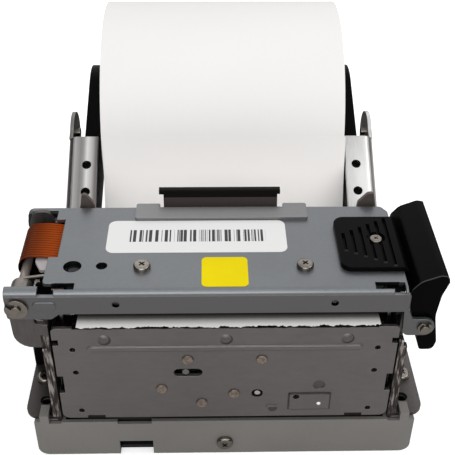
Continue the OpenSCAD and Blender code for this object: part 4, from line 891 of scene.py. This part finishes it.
low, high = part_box("paper_roll")
bore = (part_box("roll_core")[1].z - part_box("roll_core")[0].z) / 2
roll_middle, roll_radius = (low + high) / 2, (high.z - low.z) / 2
rod(roll_middle, roll_radius, high.x - low.x, turn=(0, math.radians(90), 0), sides=256)
for side in (low.x + 0.7 * MM, high.x - 0.7 * MM):
    bpy.ops.object.mode_set(mode="EDIT")
    bpy.ops.mesh.select_all(action="SELECT")
    bpy.ops.mesh.bisect(plane_co=(side, 0, 0), plane_no=(1, 0, 0))
bevel(lambda centre, normal: abs(normal.x) > 0.99, 0.2 * MM, 2, "FACE")
pick(lambda centre, normal: abs(normal.x) > 0.99)
for ring in range(6):
    bpy.ops.mesh.inset(thickness=0.15 * (roll_radius - bore), depth=(-0.12 if ring % 2 else 0.06) * MM)
bpy.ops.mesh.inset(thickness=0.1 * (roll_radius - bore) - 0.4 * MM)
bpy.ops.mesh.bridge_edge_loops()
roll_paper = thermal_paper("roll_paper")
centred = roll_paper.node("ShaderNodeMapping", {}, {"Vector": roll_paper.place, "Scale": (0, 1, 1),
                                                    "Location": (0, -roll_middle.y, -roll_middle.z)})
reach = roll_paper.node("ShaderNodeVectorMath", {"operation": "LENGTH"}, {0: centred}, out="Value")
layers = roll_paper.lines(reach, 2600, 3.0)
edge_on = (reach < roll_radius - 0.3 * MM) * (reach > bore)
roll_paper.tint(edge_on * layers * 0.8, (0.46, 0.44, 0.41))
roll_paper.set("Normal", roll_paper.bump(edge_on * layers + 0.3 * roll_paper.wave, 0.05 * MM, 0.5))
settle("wound_paper", "roll", "paper", roll_paper, "paper_roll")


def curved(start, pull, push, stop, steps=16):
    """Points along a smooth curve, after its start."""
    for step in range(1, steps + 1):
        t = step / steps
        yield (1 - t) ** 3 * start + 3 * (1 - t) ** 2 * t * pull + 3 * (1 - t) * t * t * push + t ** 3 * stop


# The strip's line, back and up: over the chute, down in a slack loop, and up to the front of the roll
strip = {"chute": ((-25.6, 52.05), (-19.91, 51.5), (-11.85, 50.68), (-5.34, 47.42), (0.66, 41.02)),
         "slack at the chute": 19.5 * MM, "slack at the roll": 36 * MM, "leaves at": math.radians(15),
         "first": 0.2 * MM, "thickness": 0.08 * MM}
low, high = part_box("paper_web")
chute = [Vector(point) * MM for point in strip["chute"]]
down_chute = (chute[4] - chute[3]).normalized()
outward = Vector((-math.cos(strip["leaves at"]), math.sin(strip["leaves at"])))
hanging = Vector((-outward.y, outward.x))
touch = Vector((roll_middle.y, roll_middle.z)) + (roll_radius + 0.06 * MM) * outward
at = Vector((low.y, high.z - 0.075 * MM))
stops = [chute[0], chute[1], *curved(*chute[1:]),
         *curved(chute[4], chute[4] + strip["slack at the chute"] * down_chute,
                 touch + strip["slack at the roll"] * hanging, touch, 30)]
sheet(((low.x + high.x) / 2, at.x + strip["first"] / 2, at.y), (high.x - low.x, strip["first"]))
pick(lambda middle, way: middle.y > at.x + 0.15 * MM, "EDGE")
at.x += strip["first"]
for stop in stops:
    pull(0, stop.x - at.x, stop.y - at.y, kind="edges")
    at = stop
bpy.ops.mesh.select_all(action="SELECT")
bpy.ops.mesh.normals_make_consistent(inside=False)
change("SOLIDIFY", thickness=strip["thickness"], offset=0)
paper = thermal_paper("paper")
# Lower down, the strip is painted lighter, as painted light
paper.tint(paper.ramp((62.5 - paper.along("Z")) * 0.04, (0.0, 0.0), (0.5, 1.0)), (0.89, 0.87, 0.855))
paper.set("Normal", paper.bump(0.4 * paper.fibre + paper.wave, 0.02 * MM, 0.3))
settle("fed_paper", "chassis", "paper", paper, "paper_web", smooth=50)

# The torn edge wanders, has a tooth here and there, and waves a little up and down
torn = {"points": 400, "deep": 0.95, "keeps": 0.84, "wander": 0.15, "tooth": 0.34, "fringe": 0.10}
low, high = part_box("paper_end")
sheet((low + high) / 2, (high.x - low.x, high.y - low.y), cuts=(torn["points"], 6))
chance = random.Random(7)
tear = [0.0]
for step in range(torn["points"]):
    tear.append(torn["keeps"] * tear[-1] + chance.uniform(-torn["wander"], torn["wander"])
                + (torn["tooth"] if chance.random() < 0.03 else 0))
ragged = [wide + chance.uniform(-torn["fringe"], torn["fringe"]) for wide in tear]
for point in bpy.context.object.data.vertices:
    spot = round((point.co.x - low.x) / (high.x - low.x) * torn["points"])
    front = (high.y - point.co.y) / (high.y - low.y)
    point.co.y += max(0.0, torn["deep"] + ragged[min(torn["points"], max(0, spot))]) * MM * front ** 3
    point.co.z += 0.05 * MM * math.sin(point.co.x / MM * 0.21) * front
change("SOLIDIFY", thickness=strip["thickness"], offset=0)
# It is painted with shade towards the slot
shaded = Finish("shaded_paper", roughness=0.62, Specular_IOR_Level=0.2)
into = (shaded.metres("Y") - low.y) * (1 / (high.y - low.y))
shade = shaded.ramp(into + 0.04 * shaded.noise(900, 4), (0.28, 0.0), (0.48, 0.26), (0.66, 0.80), (0.84, 0.97))
shaded.set("Base Color", shaded.between(shade, (0.81, 0.785, 0.775), (0.020, 0.014, 0.013)))
settle("torn_paper_end", "chassis", "paper", shaded, "paper_end", smooth=30)

core_card = moulding("core_card", (0.30, 0.21, 0.13), 0.8)
dress(core_card, "roll_core")

# ---- Control board ----
# A green board with white headers lies in the tray.

solder_mask = moulding("solder_mask", (0.008, 0.075, 0.03), 0.35)
dress(solder_mask, "control_board")
header_plastic = moulding("header_plastic", (0.62, 0.59, 0.50), 0.45)
dress(header_plastic, "board_headers")

# ---- Floor, light and camera ----
# A white floor that reflections see darker, a white sky that only the camera and gloss see in
# full, one large soft light in front, and weaker ones at the side and behind.


def seen_directly(tree, first, *others):
    """1 for what these kinds of ray see, and 0 for the rest of what lights the object."""
    rays = tree.nodes.new("ShaderNodeLightPath")
    total = rays.outputs[first]
    for ray in others:
        adding = tree.nodes.new("ShaderNodeMath")
        adding.operation = "ADD"
        adding.use_clamp = True
        tree.links.new(total, adding.inputs[0])
        tree.links.new(rays.outputs[ray], adding.inputs[1])
        total = adding.outputs[0]
    return total


floor_glow, sky_light = 0.42, 0.85
alone()
bpy.ops.mesh.primitive_plane_add(size=8, location=(0, 0, -0.0002))
floor = bpy.context.object
floor.name = "floor"
pale = Finish("floor", roughness=0.9, colour=(0.88, 0.88, 0.88), Specular_IOR_Level=0.0)
glow = pale.tree.nodes.new("ShaderNodeMath")
glow.operation = "MULTIPLY"
glow.inputs[1].default_value = floor_glow
pale.tree.links.new(seen_directly(pale.tree, "Is Camera Ray", "Is Transmission Ray"), glow.inputs[0])
pale.set("Emission Strength", Channel(pale, glow.outputs[0]))
pale.set("Emission Color", (1, 1, 1, 1))
mirrored = Channel(pale, seen_directly(pale.tree, "Is Glossy Ray"))
pale.set("Base Color", pale.between(mirrored, (0.88, 0.88, 0.88), (0.56, 0.545, 0.535)))
floor.data.materials.append(pale.material)

world = bpy.data.worlds.new("studio")
bpy.context.scene.world = world
world.use_nodes = True
sky = world.node_tree.nodes["Background"]
sky.inputs["Color"].default_value = (1, 1, 1, 1)
level = world.node_tree.nodes.new("ShaderNodeMath")
level.operation = "MULTIPLY_ADD"
level.inputs[1].default_value = 1.0 - sky_light
level.inputs[2].default_value = sky_light
in_view = seen_directly(world.node_tree, "Is Camera Ray", "Is Glossy Ray", "Is Transmission Ray")
world.node_tree.links.new(in_view, level.inputs[0])
world.node_tree.links.new(level.outputs[0], sky.inputs["Strength"])


def soft_light(name, at, target, size, power):
    """Sets a large soft lamp that looks at a point of the object."""
    bpy.ops.object.light_add(type="AREA", location=at)
    light = bpy.context.object
    light.name = name
    light.data.shape = "RECTANGLE"
    light.data.size, light.data.size_y = size
    light.data.energy = power
    light.rotation_euler = (Vector(target) - Vector(at)).to_track_quat("-Z", "Y").to_euler()


soft_light("key", at=(-0.10, -0.66, 0.56), target=(0, 0, 0.04), size=(0.6, 0.35), power=1.9)
soft_light("side", at=(0.60, -0.10, 0.45), target=(0, 0, 0.04), size=(0.4, 0.5), power=1.1)
soft_light("back", at=(-0.1, 0.75, 0.60), target=(0, 0.02, 0.06), size=(0.8, 0.3), power=0.3)
# Dark screens at both sides, which only reflections see, give the metal its contrast
for side in (-1, 1):
    alone()
    bpy.ops.mesh.primitive_plane_add(size=1, location=(0.55 * side, -0.1, 0.2),
                                     rotation=(0, math.radians(90), 0))
    screen = bpy.context.object
    screen.name = "dark_screen"
    screen.scale = (0.4, 1.6, 1)
    screen.data.materials.append(Finish("dark_screen", roughness=1.0, colour=(0.015, 0.014, 0.013),
                                        Specular_IOR_Level=0.0).material)
    screen.visible_camera = screen.visible_diffuse = screen.visible_shadow = False

# The camera stands in front and above, and looks down at the cover and the exit
stand = (-0.00398, -0.21797, 0.20856)
turn, dip, roll = math.radians(1.425), math.radians(36.648), math.radians(0.526)
ahead = Vector((math.sin(turn) * math.cos(dip), math.cos(turn) * math.cos(dip), -math.sin(dip)))
level = Vector((math.cos(turn), -math.sin(turn), 0))
upright = level.cross(ahead)
right = level * math.cos(roll) + upright * math.sin(roll)
up = upright * math.cos(roll) - level * math.sin(roll)
bpy.ops.object.camera_add()
camera = bpy.context.object
facing = Matrix((right, up, -ahead)).transposed().to_4x4()
camera.matrix_world = Matrix.Translation(stand) @ facing
camera.data.lens = 68.78
camera.data.sensor_width = 36
camera.data.clip_start = 0.01
bpy.context.scene.camera = camera
bpy.context.scene.view_settings.view_transform = "Standard"
